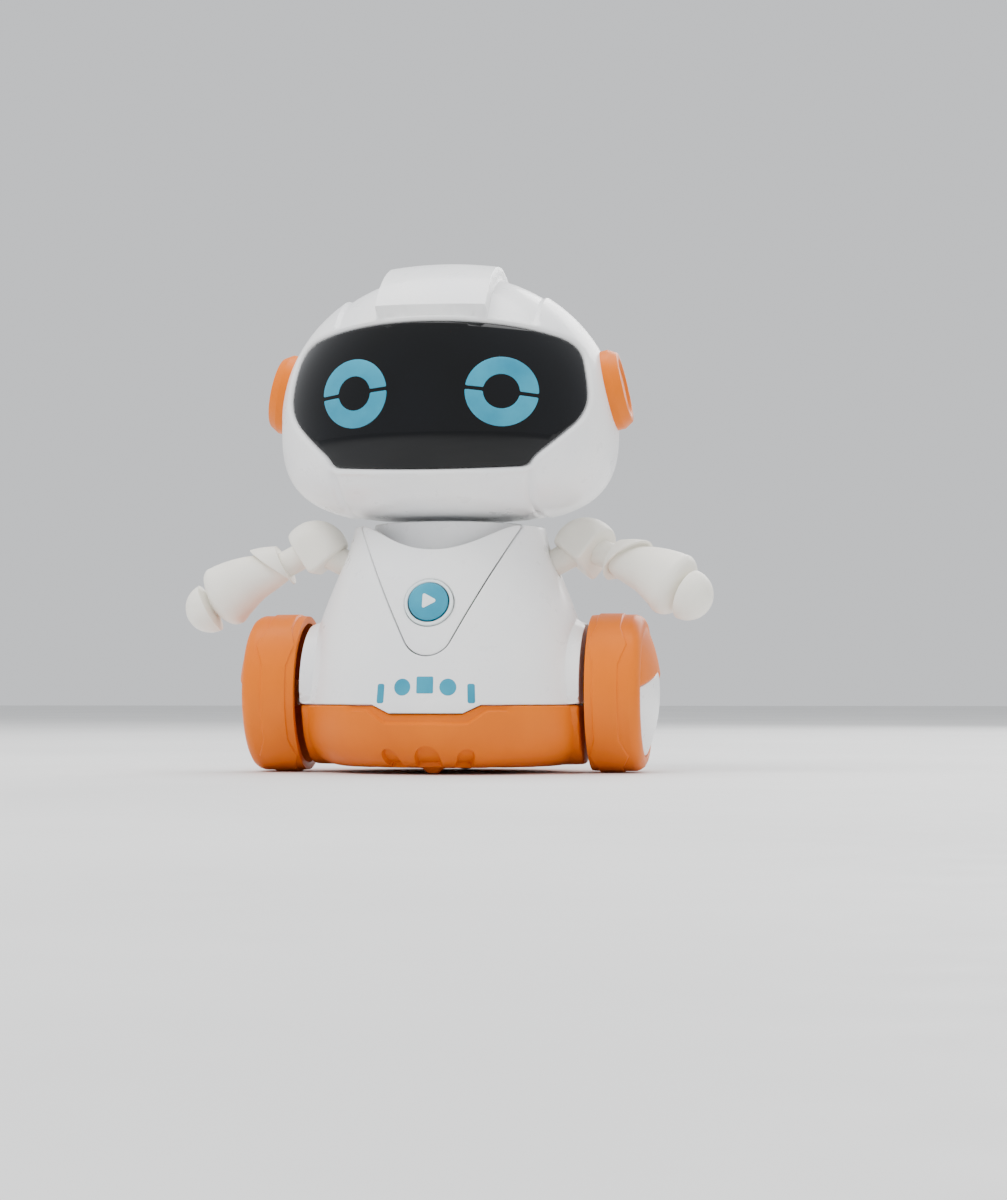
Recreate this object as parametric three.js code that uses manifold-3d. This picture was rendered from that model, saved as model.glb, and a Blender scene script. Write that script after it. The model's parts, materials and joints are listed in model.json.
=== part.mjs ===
// Educational coding robot: a palm-sized, two-wheeled toy with a round head, a glossy face
// visor, swinging arms and a geared drive unit for each wheel.
// Millimetres, +Z up. The origin is on the floor under the middle of the robot, the robot
// faces -Y, and "left" and "right" are the robot's own: its left side is +X.
import * as THREE from 'three';
import Module from 'manifold-3d';
import { mergeVertices } from 'three/addons/utils/BufferGeometryUtils.js';

const wasm = await Module();
wasm.setup();

// ---------------------------------------------------------------- driving dimensions
const GAP = 0.3;                       // clearance between neighbouring pieces
const WALL = 2.0;                      // moulded shell thickness
const FAR = 100;                       // reach of a cutting block, beyond the whole robot

// head: half an ellipsoid above its widest level, a squarer bowl below it
const HEAD = { halfWidth: 41.7, halfDepth: 37, level: 86.5, rise: 37, drop: 25.4, square: 3.3 };
const RIDGE = { halfWidth: 12.7, flank: 1.1, top: 125, halfDepth: 38, shift: -1, front: 110.4, back: 99,
  thick: 4 };
const VISOR = { recess: 0.8, thick: 1.7, bevel: 0.8, lip: 1.6, ledge: 1, ledgeOut: 2, ledgeFoot: 3.2 };
const EYE = { x: 18, z: 90.3, outer: 8.5, inner: 4.2, back: -20.4, length: 15 };
const EYE_BOARD = { halfX: 29, halfZ: 5, front: -18.6, back: -17.4, lampHalf: 1.6, lampFront: -20 };
const EAR = { z: 93.5, tilt: 0.215, radius: 9.9, faceRadius: 8.5, thick: 3.1, pin: 2.4, back: -2,
  wall: 0.8, rim: 1.4, dishWall: 0.8, dish: 0.7 };

// neck and torso
const NECK = { radius: 18.7, bottom: 49, top: 60.6, spindle: 8, spindleTop: 66, bore: 5.2,
  flange: 1.6, flangeHigh: 1.5, spindleGap: 0.5 };
const CLIP = { radius: 11, inner: 7, groove: 1.2, grooveHigh: 1.3, grooveLift: 0.9, mouth: 0.4, slack: 0.25 };
const TORSO = { seam: 16.5, top: 60, scoop: 6.4, flank: 34 };
const BELL = [[36.3, 16.5], [34.8, 26], [31.9, 36.7], [28.2, 46.3], [25.2, 53.5], [23.4, 60]];
const BIB = { slope: 0.515, apex: 20.2, tip: 6.2 };
const BUTTON = { z: 40.7, radius: 4.7, ringRadius: 5.8, travel: 1.0, stem: 1.4, proud: 0.2 };
const BUTTON_RING = { foot: -3.6, flange: 1, flangeHigh: 0.5, proud: 0.35 };
const TACT = { half: 3, low: -8, high: -4.5, plunger: 1.4, tip: -2.3 };
const CHEST_TILT = 0.35;               // lean of the chest wall at the button, radians
const NOTCH = { topHalf: 13.3, bottomHalf: 8.9, depth: 2.1 };
const FLANK_BOSS = { radius: 17.6, edge: 2 };
const GRILLE = { half: 6.5, taper: 1.2, pitch: 2.6, halfSlot: 0.6 };
const SPEAKER = { z: 40, radius: 9.2, rim: 0.8, magnet: 5, cone: 2.6, depth: 4.6, behind: 2.4 };
const SWITCH = { z: 26, halfX: 4.2, halfZ: 1.7 };
// the switch's box and its channel, then its knob; depths are measured from the torso's surface
const SWITCH_BOX = { halfX: 6, halfZ: 3, back: -8.6, face: -3.7, channelX: 4.4, channelZ: 1.8 };
const KNOB = { low: -3.9, high: -0.5, halfZ: 1.4, back: -5.1, front: 0.7, ribInset: 0.6, ribHalfZ: 1.1,
  ribFront: 1.1 };

// base
const BOWL = { radius: 36.3, core: 24, bottom: 1.5, power: 2.5 };
const DOOR = { halfX: 23, halfY: 16, corner: 6, thick: 1.5 };
const CELL = { radius: 5.25, length: 44.5, pitch: 10.75, z: 10.4, nub: 1.9, nubLong: 1 };
const CONTACT = { gap: 0.4, thick: 0.4, halfY: 15.5, low: 5.6, high: 14.6 };
const CASTER = { y: 23.1, radius: 4.2, socket: 0.4, cup: 1.4, low: 3.9, floor: 9, top: 10, lip: 2.1,
  lipIn: 0.25 };
const SCREW = { x: 14.6, y: 20.6, shank: 1.0, head: 2.0, hole: 1.5, sink: 2.4, post: 2.9, sunk: 3.9,
  postLow: 2.4, postShort: 3 };
const DOOR_SCREW = { y: -13.2, hole: 1.3, sink: 2.3 };
const SKID = { y: -24, bottom: 0.25, tip: 1.4, foot: 2.4, side: 1.1, top: 2 };
const SENSOR = { x: 6, y: -21, radius: 1.4, bottom: 1.9, window: 1.9 };
const BATTERY_BOX = { x: 25.2, y: 17, low: 5.7, high: 16.8, wall: 0.7 };

// drive: wheels, axles and a two-stage gear train on each side
const WHEEL = { radius: 19.4, inner: 35.4, tread: 45.6, face: 48.6, capRadius: 15.4, apex: 51.6,
  wall: 2.2, webBack: 0.4, webFront: 1.3, hub: 3.2, hubLow: 38, bore: 0.2, capGap: 0.4 };
const AXLE_RADIUS = 1.0;
const CHEVRON = { rise: 5.3, fall: 7.7, half: 30, proud: 0.45 };  // orange top of the wheel face
const GEAR = { module: 0.6, output: 24, cluster: 24, clusterPinion: 8, motorPinion: 8, bore: 0.25,
  overlap: 0.2 };
const TRAIN = { plate: 22.4, stage1: 23.7, stage2: 27.0, cover: 30.6, face: 2.7 };
const IDLER_ANGLE = Math.PI / 3;       // output axle to cluster, from straight back towards up
const MOTOR_ANGLE = -0.12;             // cluster to motor shaft, from straight back
const MOTOR = { radius: 6, inner: 6.5, outer: 22, flat: 4.9, shaft: 0.6, bore: 0.9, boreDeep: 3,
  shaftDeep: 2.5 };
const GEARBOX = { axleEnd: 11.4, motorEnd: 7, pinEnd: 4, plateThick: 0.9, coverThick: 1, pillar: 1.2,
  pillarReach: 9.75, floor: 17, axleSlack: 0.35, pin: 0.7, pinSlack: 0.25, pinTurn: 0.3,
  shaftHole: 2.3, axleOver: 0.8 };

// arms: a hub on a tilted peg in the shoulder, and a forearm on a peg in the hub
const ARM = { hubX: 33.8, hubZ: 55.3, pegTilt: 0.48, peg: 3.3, reach: 8.8 };
const HOOD = { radius: 8.2, drop: 1.3, halfDepth: 6.6, inner: 0.855, outer: 0.588, tip: 5.6, corner: 1.6,
  length: 20 };
const PEG = { wall: -8.4, length: 3.4, barb: 0.9, barbLong: 1.2, grip: 0.1, socketFrom: 2.2, foreFrom: 2.6 };
const LEFT_ARM_SWING = 0.454;          // the left arm rests swung forward, radians

// ---------------------------------------------------------------- materials
const plastic = (color, roughness) => new THREE.MeshStandardMaterial({ color, roughness });
const metal = (color, roughness) => new THREE.MeshStandardMaterial({ color, roughness, metalness: 1 });
const WHITE = plastic(0xf1f1ef, 0.35);
const IVORY = plastic(0xeeeade, 0.45);
const ORANGE = plastic(0xf47a12, 0.4);
const BLACK_GLOSS = plastic(0x060709, 0.06);
const TEAL = plastic(0x3f98a3, 0.4);
const CLEAR = plastic(0xdfeaea, 0.2);
const DARK = plastic(0x26282b, 0.6);
const NATURAL = plastic(0xe6e2d4, 0.5);
const BOARD = plastic(0x1f6b3a, 0.5);
const STEEL = metal(0xb9bcc0, 0.3);
const BRASS = metal(0xc9a24a, 0.35);
const CELL_WRAP = plastic(0x3c4148, 0.4);

// ---------------------------------------------------------------- solids and meshes
function weld(geometry) {
  const plain = geometry.clone();
  for (const name of Object.keys(plain.attributes)) {
    if (name !== 'position') plain.deleteAttribute(name);
  }
  const merged = mergeVertices(plain, 1e-4);
  const index = merged.index.array;
  const kept = [];
  for (let i = 0; i < index.length; i += 3) {
    const [a, b, c] = [index[i], index[i + 1], index[i + 2]];
    if (a !== b && b !== c && c !== a) kept.push(a, b, c);
  }
  merged.setIndex(kept);
  return merged;
}

function solid(geometry) {
  const g = weld(geometry);
  return new wasm.Manifold(new wasm.Mesh({
    numProp: 3,
    vertProperties: new Float32Array(g.attributes.position.array),
    triVerts: new Uint32Array(g.index.array),
  }));
}

function geometryOf(body) {
  const mesh = body.getMesh();
  const g = new THREE.BufferGeometry();
  g.setAttribute('position', new THREE.BufferAttribute(new Float32Array(mesh.vertProperties), 3));
  g.setIndex(Array.from(mesh.triVerts));
  return g;
}

const join = (first, ...others) => others.reduce((a, b) => a.add(b), first);
const cut = (first, ...others) => others.reduce((a, b) => a.subtract(b), first);

const robot = new THREE.Group();

function piece(name, shape, material, parent = robot) {
  const geometry = shape.isBufferGeometry ? weld(shape) : geometryOf(shape);
  geometry.computeVertexNormals();
  const mesh = new THREE.Mesh(geometry, material);
  mesh.name = name;
  parent.add(mesh);
}

// A mirror image in the plane X = 0, with its faces still pointing outwards.
function mirrorX(geometry) {
  const g = weld(geometry);
  g.scale(-1, 1, 1);
  const index = g.index.array;
  for (let i = 0; i < index.length; i += 3) {
    [index[i + 1], index[i + 2]] = [index[i + 2], index[i + 1]];
  }
  return g;
}

// side is +1 for the robot's left and -1 for its right.
const onSide = (side, body) => (side > 0 ? body : solid(mirrorX(geometryOf(body))));

// ---------------------------------------------------------------- shape helpers
// One closed surface from rows of points, each row a loop. With ends 'ring' the last row joins
// the first; with ends 'cap' a row that is a single repeated point closes the surface.
function skin(rows, ends) {
  const across = rows[0].length;
  const positions = rows.flat().flatMap((p) => [p.x, p.y, p.z]);
  const faces = [];
  const links = ends === 'ring' ? rows.length : rows.length - 1;
  for (let i = 0; i < links; i += 1) {
    for (let j = 0; j < across; j += 1) {
      const [a, b] = [i * across + j, i * across + ((j + 1) % across)];
      const next = ((i + 1) % rows.length) * across;
      const [c, d] = [next + j, next + ((j + 1) % across)];
      faces.push(a, b, d, a, d, c);
    }
  }
  const g = new THREE.BufferGeometry();
  g.setAttribute('position', new THREE.Float32BufferAttribute(positions, 3));
  g.setIndex(faces);
  return outward(weld(g));
}

function outward(g) {
  const p = g.attributes.position;
  const index = g.index.array;
  const [a, b, c] = [new THREE.Vector3(), new THREE.Vector3(), new THREE.Vector3()];
  let volume = 0;
  for (let i = 0; i < index.length; i += 3) {
    a.fromBufferAttribute(p, index[i]);
    b.fromBufferAttribute(p, index[i + 1]);
    c.fromBufferAttribute(p, index[i + 2]);
    volume += a.dot(b.cross(c));
  }
  if (volume < 0) {
    for (let i = 0; i < index.length; i += 3) {
      [index[i + 1], index[i + 2]] = [index[i + 2], index[i + 1]];
    }
  }
  return g;
}

// A profile of [radius, height] points turned about Z; it closes on the axis or on itself.
function turned(profile, segments) {
  const points = profile.map(([r, z]) => new THREE.Vector2(r, z));
  if (profile[0][0] > 0) points.push(points[0].clone());
  const g = new THREE.LatheGeometry(points, segments);
  return outward(weld(g.rotateX(Math.PI / 2)));
}

// The same profile read as [radius, x] and turned about X.
const turnedX = (profile, segments) => turned(profile, segments).rotateY(Math.PI / 2);

function rod(radius, from, to, segments) {
  const [a, b] = [new THREE.Vector3(...from), new THREE.Vector3(...to)];
  const g = new THREE.CylinderGeometry(radius, radius, a.distanceTo(b), segments);
  const turn = new THREE.Quaternion().setFromUnitVectors(
    new THREE.Vector3(0, 1, 0), b.clone().sub(a).normalize());
  g.applyQuaternion(turn);
  const middle = a.add(b).multiplyScalar(0.5);
  return g.translate(middle.x, middle.y, middle.z);
}

function block(low, high) {
  const size = high.map((v, i) => v - low[i]);
  const g = new THREE.BoxGeometry(...size);
  return g.translate(...high.map((v, i) => (v + low[i]) / 2));
}

function extruded(shape, depth, curveSegments) {
  return new THREE.ExtrudeGeometry(shape, { depth, bevelEnabled: false, curveSegments });
}

// A plate whose outline is drawn in Y and Z, from x = low to x = high.
const plateX = (shape, low, high, curveSegments) => extruded(shape, high - low, curveSegments)
  .applyMatrix4(new THREE.Matrix4().makeBasis(
    new THREE.Vector3(0, 1, 0), new THREE.Vector3(0, 0, 1), new THREE.Vector3(1, 0, 0)))
  .translate(low, 0, 0);

// A plate whose outline is drawn in X and Z, from y = low to y = high.
const plateY = (shape, low, high, curveSegments) => extruded(shape, high - low, curveSegments)
  .rotateX(Math.PI / 2).translate(0, high, 0);

function roundedRect(halfX, halfY, corner) {
  const s = new THREE.Shape();
  s.moveTo(halfX - corner, -halfY);
  s.absarc(halfX - corner, corner - halfY, corner, -Math.PI / 2, 0);
  s.absarc(halfX - corner, halfY - corner, corner, 0, Math.PI / 2);
  s.absarc(corner - halfX, halfY - corner, corner, Math.PI / 2, Math.PI);
  s.absarc(corner - halfX, corner - halfY, corner, Math.PI, 1.5 * Math.PI);
  s.closePath();
  return s;
}

// The outline of a band drawn tight round two circles.
function hull(c1, r1, c2, r2) {
  const heading = Math.atan2(c2[1] - c1[1], c2[0] - c1[0]);
  const lean = Math.acos((r1 - r2) / Math.hypot(c2[0] - c1[0], c2[1] - c1[1]));
  const s = new THREE.Shape();
  s.absarc(...c1, r1, heading + lean, heading - lean + 2 * Math.PI);
  s.absarc(...c2, r2, heading - lean, heading + lean);
  s.closePath();
  return s;
}

function spur(teeth, low, high, bore) {
  const pitch = (teeth * GEAR.module) / 2;
  const [tip, root] = [pitch + 0.8 * GEAR.module, pitch - 1.2 * GEAR.module];
  const step = (2 * Math.PI) / teeth;
  const [tipHalf, rootHalf] = [0.115 * step, 0.315 * step];
  const outline = [];
  for (let i = 0; i < teeth; i += 1) {
    const at = i * step;
    for (const [r, a] of [[root, -rootHalf], [tip, -tipHalf], [tip, tipHalf], [root, rootHalf]]) {
      outline.push(new THREE.Vector2(r * Math.cos(at + a), r * Math.sin(at + a)));
    }
  }
  const s = new THREE.Shape(outline);
  if (bore) s.holes.push(new THREE.Path().absarc(0, 0, bore, 0, 2 * Math.PI, true));
  return plateX(s, low, high, 6);
}

// The space in front of and behind the split between the front and rear shells.
const frontSpace = solid(block([-FAR, -FAR, 0], [FAR, -GAP / 2, 2 * FAR]));
const rearSpace = solid(block([-FAR, GAP / 2, 0], [FAR, FAR, 2 * FAR]));

// ---------------------------------------------------------------- head surface
// The point of the head's surface in a direction from its middle. `turn` goes round the
// front-to-back axis and `away` is the angle from straight ahead; `inset` is depth below it.
function headPoint(turn, away, inset) {
  const n = new THREE.Vector3(
    Math.sin(away) * Math.cos(turn), -Math.cos(away), Math.sin(away) * Math.sin(turn));
  const [power, height] = n.z >= 0 ? [2, HEAD.rise] : [HEAD.square, HEAD.drop];
  const level = Math.hypot(n.x / (HEAD.halfWidth - inset), n.y / (HEAD.halfDepth - inset));
  const upright = Math.abs(n.z) / (height - inset);
  n.divideScalar((level ** power + upright ** power) ** (1 / power));
  return n.add(new THREE.Vector3(0, 0, HEAD.level));
}

// The surface point above a place in the front view.
function headFront(x, z) {
  const rise = z - HEAD.level;
  const [power, height] = rise >= 0 ? [2, HEAD.rise] : [HEAD.square, HEAD.drop];
  const level = (1 - Math.abs(rise / height) ** power) ** (1 / power);
  return new THREE.Vector3(x, -HEAD.halfDepth * Math.sqrt(level ** 2 - (x / HEAD.halfWidth) ** 2), z);
}

function visorHalf() {
  const p = new THREE.Path();
  p.moveTo(0, 108);
  p.bezierCurveTo(12, 108, 22, 107, 30, 104.9);
  p.quadraticCurveTo(34.6, 103.6, 35.6, 99.5);
  p.quadraticCurveTo(36.9, 94, 36.9, 90);
  p.quadraticCurveTo(36.7, 86.2, 33.6, 82.9);
  p.lineTo(26.6, 76.3);
  p.quadraticCurveTo(24.9, 74.7, 24.4, 73.6);
  p.quadraticCurveTo(23.9, 72.7, 22, 72.5);
  p.quadraticCurveTo(11, 71.6, 0, 71.6);
  return p;
}

// The visor's edge as directions {turn, away} from the head's middle, once round.
function visorEdge(halfSteps) {
  const half = visorHalf().getSpacedPoints(halfSteps);
  const mirrored = half.slice(1, -1).reverse().map((p) => new THREE.Vector2(-p.x, p.y));
  return [...half, ...mirrored].map((p) => {
    const q = headFront(p.x, p.y).sub(new THREE.Vector3(0, 0, HEAD.level));
    return { turn: Math.atan2(q.z, q.x), away: Math.acos(-q.y / q.length()), reach: q.length() };
  });
}

const EDGE = visorEdge(18);
const edgeRow = (grow, inset) => EDGE.map((e) => headPoint(e.turn, e.away + grow / e.reach, inset));
const poleRow = (away, inset) => EDGE.map((e) => headPoint(e.turn, away, inset));

// A row part of the way from the visor's edge to the split between the two head shells.
const SPLIT = Math.PI / 2;
const SPLIT_GAP = GAP / 2 / HEAD.halfWidth;
function frontRow(part, inset, startGrow) {
  return EDGE.map((e) => {
    const start = e.away + startGrow / e.reach;
    return headPoint(e.turn, start + part * (SPLIT - SPLIT_GAP - start), inset);
  });
}

// The whole head as a plain solid, for trimming the pieces that follow its surface.
function headBody(inset) {
  const steps = [0, 0.45, 0.9, 1.2, 1.39, SPLIT, 1.75, 1.94, 2.24, 2.7, Math.PI];
  return solid(skin(steps.map((away) => poleRow(away, inset)), 'cap'));
}

function ridgeBand() {
  const arc = (grow, low, high) => {
    const height = RIDGE.top - HEAD.level - grow;
    const depth = RIDGE.halfDepth - grow;
    const points = [];
    const steps = 8;
    for (let i = 0; i <= steps; i += 1) {
      const angle = low + ((high - low) * i) / steps;
      points.push(new THREE.Vector2(
        RIDGE.shift - depth * Math.cos(angle), HEAD.level + height * Math.sin(angle)));
    }
    return points;
  };
  const rise = RIDGE.top - HEAD.level;
  const low = Math.asin((RIDGE.front - HEAD.level) / rise);
  const high = Math.PI - Math.asin((RIDGE.back - HEAD.level) / rise);
  const outline = new THREE.Shape([...arc(0, low, high), ...arc(RIDGE.thick, low, high).reverse()]);
  const slab = new THREE.ExtrudeGeometry(outline, {
    depth: 2 * (RIDGE.halfWidth - RIDGE.flank), bevelThickness: 2 * RIDGE.flank,
    bevelSize: RIDGE.flank, bevelOffset: -RIDGE.flank, bevelSegments: 1,
  });
  slab.translate(0, 0, RIDGE.flank - RIDGE.halfWidth);
  return solid(slab.applyMatrix4(new THREE.Matrix4().makeBasis(
    new THREE.Vector3(0, 1, 0), new THREE.Vector3(0, 0, 1), new THREE.Vector3(1, 0, 0))));
}

function headShells() {
  const { recess, bevel, thick, lip, ledgeOut, ledgeFoot } = VISOR;
  const ledge = recess + thick + GAP;
  const front = [
    edgeRow(bevel + GAP, 0), edgeRow(GAP, recess), edgeRow(GAP, ledge), edgeRow(-lip, ledge),
    edgeRow(-lip, ledge + VISOR.ledge), edgeRow(ledgeOut, ledge + VISOR.ledge), edgeRow(ledgeFoot, WALL),
    ...[0.5, 1].map((part) => frontRow(part, WALL, ledgeFoot)),
    ...[1, 0.75, 0.5, 0.25].map((part) => frontRow(part, 0, bevel + GAP)),
  ];
  const turns = [0, 0.32, 0.64, 0.96, 1.26, Math.PI - SPLIT - SPLIT_GAP];
  const rear = [
    ...turns.map((t) => poleRow(Math.PI - t, 0)),
    ...turns.filter((t, i) => i !== 1).reverse().map((t) => poleRow(Math.PI - t, WALL)),
  ];
  const ridge = cut(ridgeBand(), headBody(WALL / 2));
  const openings = [
    solid(rod(NECK.spindle + NECK.spindleGap, [0, 0, 58], [0, 0, NECK.spindleTop], 20)),
    ...[1, -1].map((side) => onSide(side, earPin(EAR.pin + GAP))),
  ];
  const frontShell = join(solid(skin(front, 'ring')), ridge.intersect(frontSpace));
  const rearShell = join(solid(skin(rear, 'cap')), ridge.intersect(rearSpace));
  piece('head_front_shell', cut(frontShell, ...openings), WHITE);
  piece('head_rear_shell', cut(rearShell, ...openings), WHITE);
}

function visor() {
  const { recess, thick } = VISOR;
  const row = (part, inset) => EDGE.map((e) => headPoint(e.turn, e.away * part, inset));
  piece('face_visor', skin([
    ...[0, 0.35, 0.7, 1].map((part) => row(part, recess)),
    ...[1, 0.92, 0.7, 0.35, 0].map((part) => row(part, recess + thick)),
  ], 'cap'), BLACK_GLOSS);
}

// Directions in which the ear on the left side points, and its foot on the head.
const EAR_OUT = new THREE.Vector3(Math.cos(EAR.tilt), 0, Math.sin(EAR.tilt));
const EAR_FOOT = new THREE.Vector3(40.4, 0, EAR.z);
const earAt = (reach) => EAR_FOOT.clone().addScaledVector(EAR_OUT, reach).toArray();
const earPin = (radius) => solid(rod(radius, earAt(-6), earAt(1.5), 12));

function ears() {
  const { radius, faceRadius, thick, back, wall, rim, dishWall, dish } = EAR;
  const disc = turnedX([
    [0, back], [radius, back], [radius, wall], [faceRadius, thick], [faceRadius - rim, thick],
    [faceRadius - rim - dishWall, thick - dish], [0, thick - dish],
  ], 20).rotateY(-EAR.tilt).translate(...EAR_FOOT.toArray());
  const left = join(cut(solid(disc), headBody(-2 * GAP)), solid(rod(EAR.pin, earAt(-4.5), earAt(1), 12)));
  piece('ear_cap_left', left, ORANGE);
  piece('ear_cap_right', onSide(-1, left), ORANGE);
}

function eyeLights() {
  const room = headBody(VISOR.recess + VISOR.thick + 4 * GAP);
  const { halfX, halfZ, front, back, lampHalf, lampFront } = EYE_BOARD;
  const board = block([-halfX, front, EYE.z - halfZ], [halfX, back, EYE.z + halfZ]);
  const lamps = [-1, 1].map((side) => solid(block(
    [side * EYE.x - lampHalf, lampFront, EYE.z - lampHalf],
    [side * EYE.x + lampHalf, (front + back) / 2, EYE.z + lampHalf])));
  piece('eye_light_board', join(solid(board), ...lamps), BOARD);
  for (const [name, side] of [['left', 1], ['right', -1]]) {
    const { inner, outer, length } = EYE;
    const tube = turned([[inner, 0], [outer, 0], [outer, length], [inner, length]], 16);
    tube.rotateX(Math.PI / 2).translate(side * EYE.x, EYE.back, EYE.z);
    piece(`eye_light_guide_${name}`, solid(tube).intersect(room), CLEAR);
  }
}

// ---------------------------------------------------------------- neck
function neck() {
  const { radius, bottom, top, spindle, spindleTop, bore, flange, flangeHigh } = NECK;
  const { groove, grooveHigh, grooveLift, mouth, slack } = CLIP;
  // the groove round the spindle, just above the floor of the head, that the clip snaps into
  const low = HEAD.level - HEAD.drop + WALL + grooveLift;
  const high = low + grooveHigh;
  piece('neck_collar', turned([
    [bore, bottom], [radius + flange, bottom], [radius + flange, bottom + flangeHigh],
    [radius, bottom + flangeHigh], [radius, top], [spindle, top], [spindle, low],
    [spindle - groove, low], [spindle - groove, high], [spindle, high], [spindle, spindleTop],
    [bore, spindleTop],
  ], 20), WHITE);
  const clip = new THREE.Shape();
  clip.absarc(0, 0, CLIP.radius, mouth, 2 * Math.PI - mouth);
  clip.absarc(0, 0, CLIP.inner, 2 * Math.PI - mouth, mouth, true);
  clip.closePath();
  piece('neck_clip', extruded(clip, grooveHigh - 2 * slack, 8).translate(0, 0, low + slack), STEEL);
}

// ---------------------------------------------------------------- torso
const bellCurve = new THREE.SplineCurve(BELL.map(([r, z]) => new THREE.Vector2(r, z)));
const bellProfile = bellCurve.getPoints(6).map((p) => [p.x, p.y]);
function bellRadius(z) {
  const i = Math.max(1, bellProfile.findIndex((p) => p[1] >= z));
  const [[r0, z0], [r1, z1]] = [bellProfile[i - 1], bellProfile[i]];
  return r0 + ((r1 - r0) * (z - z0)) / (z1 - z0);
}

function bowlRadius(z) {
  const depth = Math.min(1, (TORSO.seam - z) / (TORSO.seam - BOWL.bottom));
  return BOWL.core + (BOWL.radius - BOWL.core) * (1 - depth ** BOWL.power) ** (1 / BOWL.power);
}

// The seam between torso and base: level, with a shallow notch in front. side +1 keeps above.
function aboveSeam(side) {
  const { topHalf, bottomHalf, depth } = NOTCH;
  const at = TORSO.seam + (side * GAP) / 2;
  const s = new THREE.Shape([
    [-FAR, side * FAR], [-FAR, at], [-topHalf, at], [-bottomHalf, at - depth],
    [bottomHalf, at - depth], [topHalf, at], [FAR, at], [FAR, side * FAR],
  ].map(([x, z]) => new THREE.Vector2(x, z)));
  const front = solid(plateY(s, -FAR, 0, 1));
  const [low, high] = side > 0 ? [at, FAR] : [-FAR, at];
  return front.add(solid(block([-FAR, -1, low], [FAR, FAR, high])));
}

// A round boss on the flank, level with the wheel.
function flankBoss(inset) {
  const { edge } = FLANK_BOSS;
  const [radius, out, root] = [FLANK_BOSS.radius - inset, TORSO.flank - inset, 20];
  const profile = [[0, root], [radius, root], [radius, out - edge], [radius - edge, out], [0, out]];
  return solid(turnedX(profile, inset > 0 ? 16 : 24).translate(0, 0, WHEEL.radius));
}

// The whole outside of torso and base as one solid, `inset` below the surface.
function trunk(inset) {
  const lower = [BOWL.bottom + inset, 4, 7.5, 12].map((z) => [
    bowlRadius(Math.max(z, BOWL.bottom + 0.06)) - inset, z]);
  const upper = bellProfile.map(([r, z]) => [r - inset, z]);
  const profile = [[0, lower[0][1]], ...lower.filter(([, z], i) => i === 0 || z > lower[0][1]),
    ...upper, [upper.at(-1)[0] - 0.3, 62], [0, 62]];
  const flat = TORSO.flank - inset;
  const bell = solid(turned(profile, inset > 0 ? 24 : 36));
  const betweenFlanks = solid(block([-flat, -FAR, -FAR], [flat, FAR, FAR]));
  const boss = flankBoss(inset);
  return join(bell.intersect(betweenFlanks), boss, onSide(-1, boss));
}

// Everything above the scooped neckline, as a solid to remove.
function neckline() {
  const [steps, rim, above] = [36, 40, 80];
  const rows = [[], [], [], [], []];
  for (let i = 0; i < steps; i += 1) {
    const angle = (i / steps) * 2 * Math.PI;
    const fromFront = Math.abs(Math.atan2(Math.sin(angle), Math.cos(angle)));
    const scoop = fromFront < Math.PI / 3 ? TORSO.scoop * Math.cos(1.5 * fromFront) ** 2 : 0;
    const point = (r, z) => new THREE.Vector3(r * Math.sin(angle), -r * Math.cos(angle), z);
    rows[0].push(point(0, TORSO.top - TORSO.scoop));
    rows[1].push(point(rim / 2, TORSO.top - scoop));
    rows[2].push(point(rim, TORSO.top - scoop));
    rows[3].push(point(rim, above));
    rows[4].push(point(0, above));
  }
  return solid(skin(rows, 'cap'));
}

function bibOutline(grow) {
  const { slope, apex, tip } = BIB;
  const lean = Math.atan(slope);
  const centre = apex + tip / Math.sin(lean) + 2 * GAP;
  const r = tip + grow;
  const s = new THREE.Shape();
  const [x, z] = [r * Math.cos(lean), centre - r * Math.sin(lean)];
  const top = TORSO.top + 10;
  const rise = top - z;
  s.moveTo(x + rise * slope, top);
  s.lineTo(-x - rise * slope, top);
  s.lineTo(-x, z);
  s.absarc(0, centre, r, Math.PI + lean, 2 * Math.PI - lean);
  s.closePath();
  return s;
}

const BUTTON_POINT = new THREE.Vector3(0, -bellRadius(BUTTON.z), BUTTON.z);
const CHEST_OUT = new THREE.Vector3(0, -Math.cos(CHEST_TILT), Math.sin(CHEST_TILT));
const chest = (depth) => BUTTON_POINT.clone().addScaledVector(CHEST_OUT, depth).toArray();

// Turns a shape made about Z, with its top up, so that its top faces out of the chest.
function onChest(geometry, depth) {
  const turn = new THREE.Quaternion().setFromUnitVectors(new THREE.Vector3(0, 0, 1), CHEST_OUT);
  return geometry.applyQuaternion(turn).translate(...chest(depth));
}

const ARM_HUB = new THREE.Vector3(ARM.hubX, 0, ARM.hubZ);
const PEG_OUT = new THREE.Vector3(Math.cos(ARM.pegTilt), 0, Math.sin(ARM.pegTilt));
const pegAt = (reach) => ARM_HUB.clone().addScaledVector(PEG_OUT, reach).toArray();

// The holes that both axles pass through.
const axleHoles = () => solid(rod(AXLE_RADIUS + 0.7, [-FAR, 0, WHEEL.radius], [FAR, 0, WHEEL.radius], 12));

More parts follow.
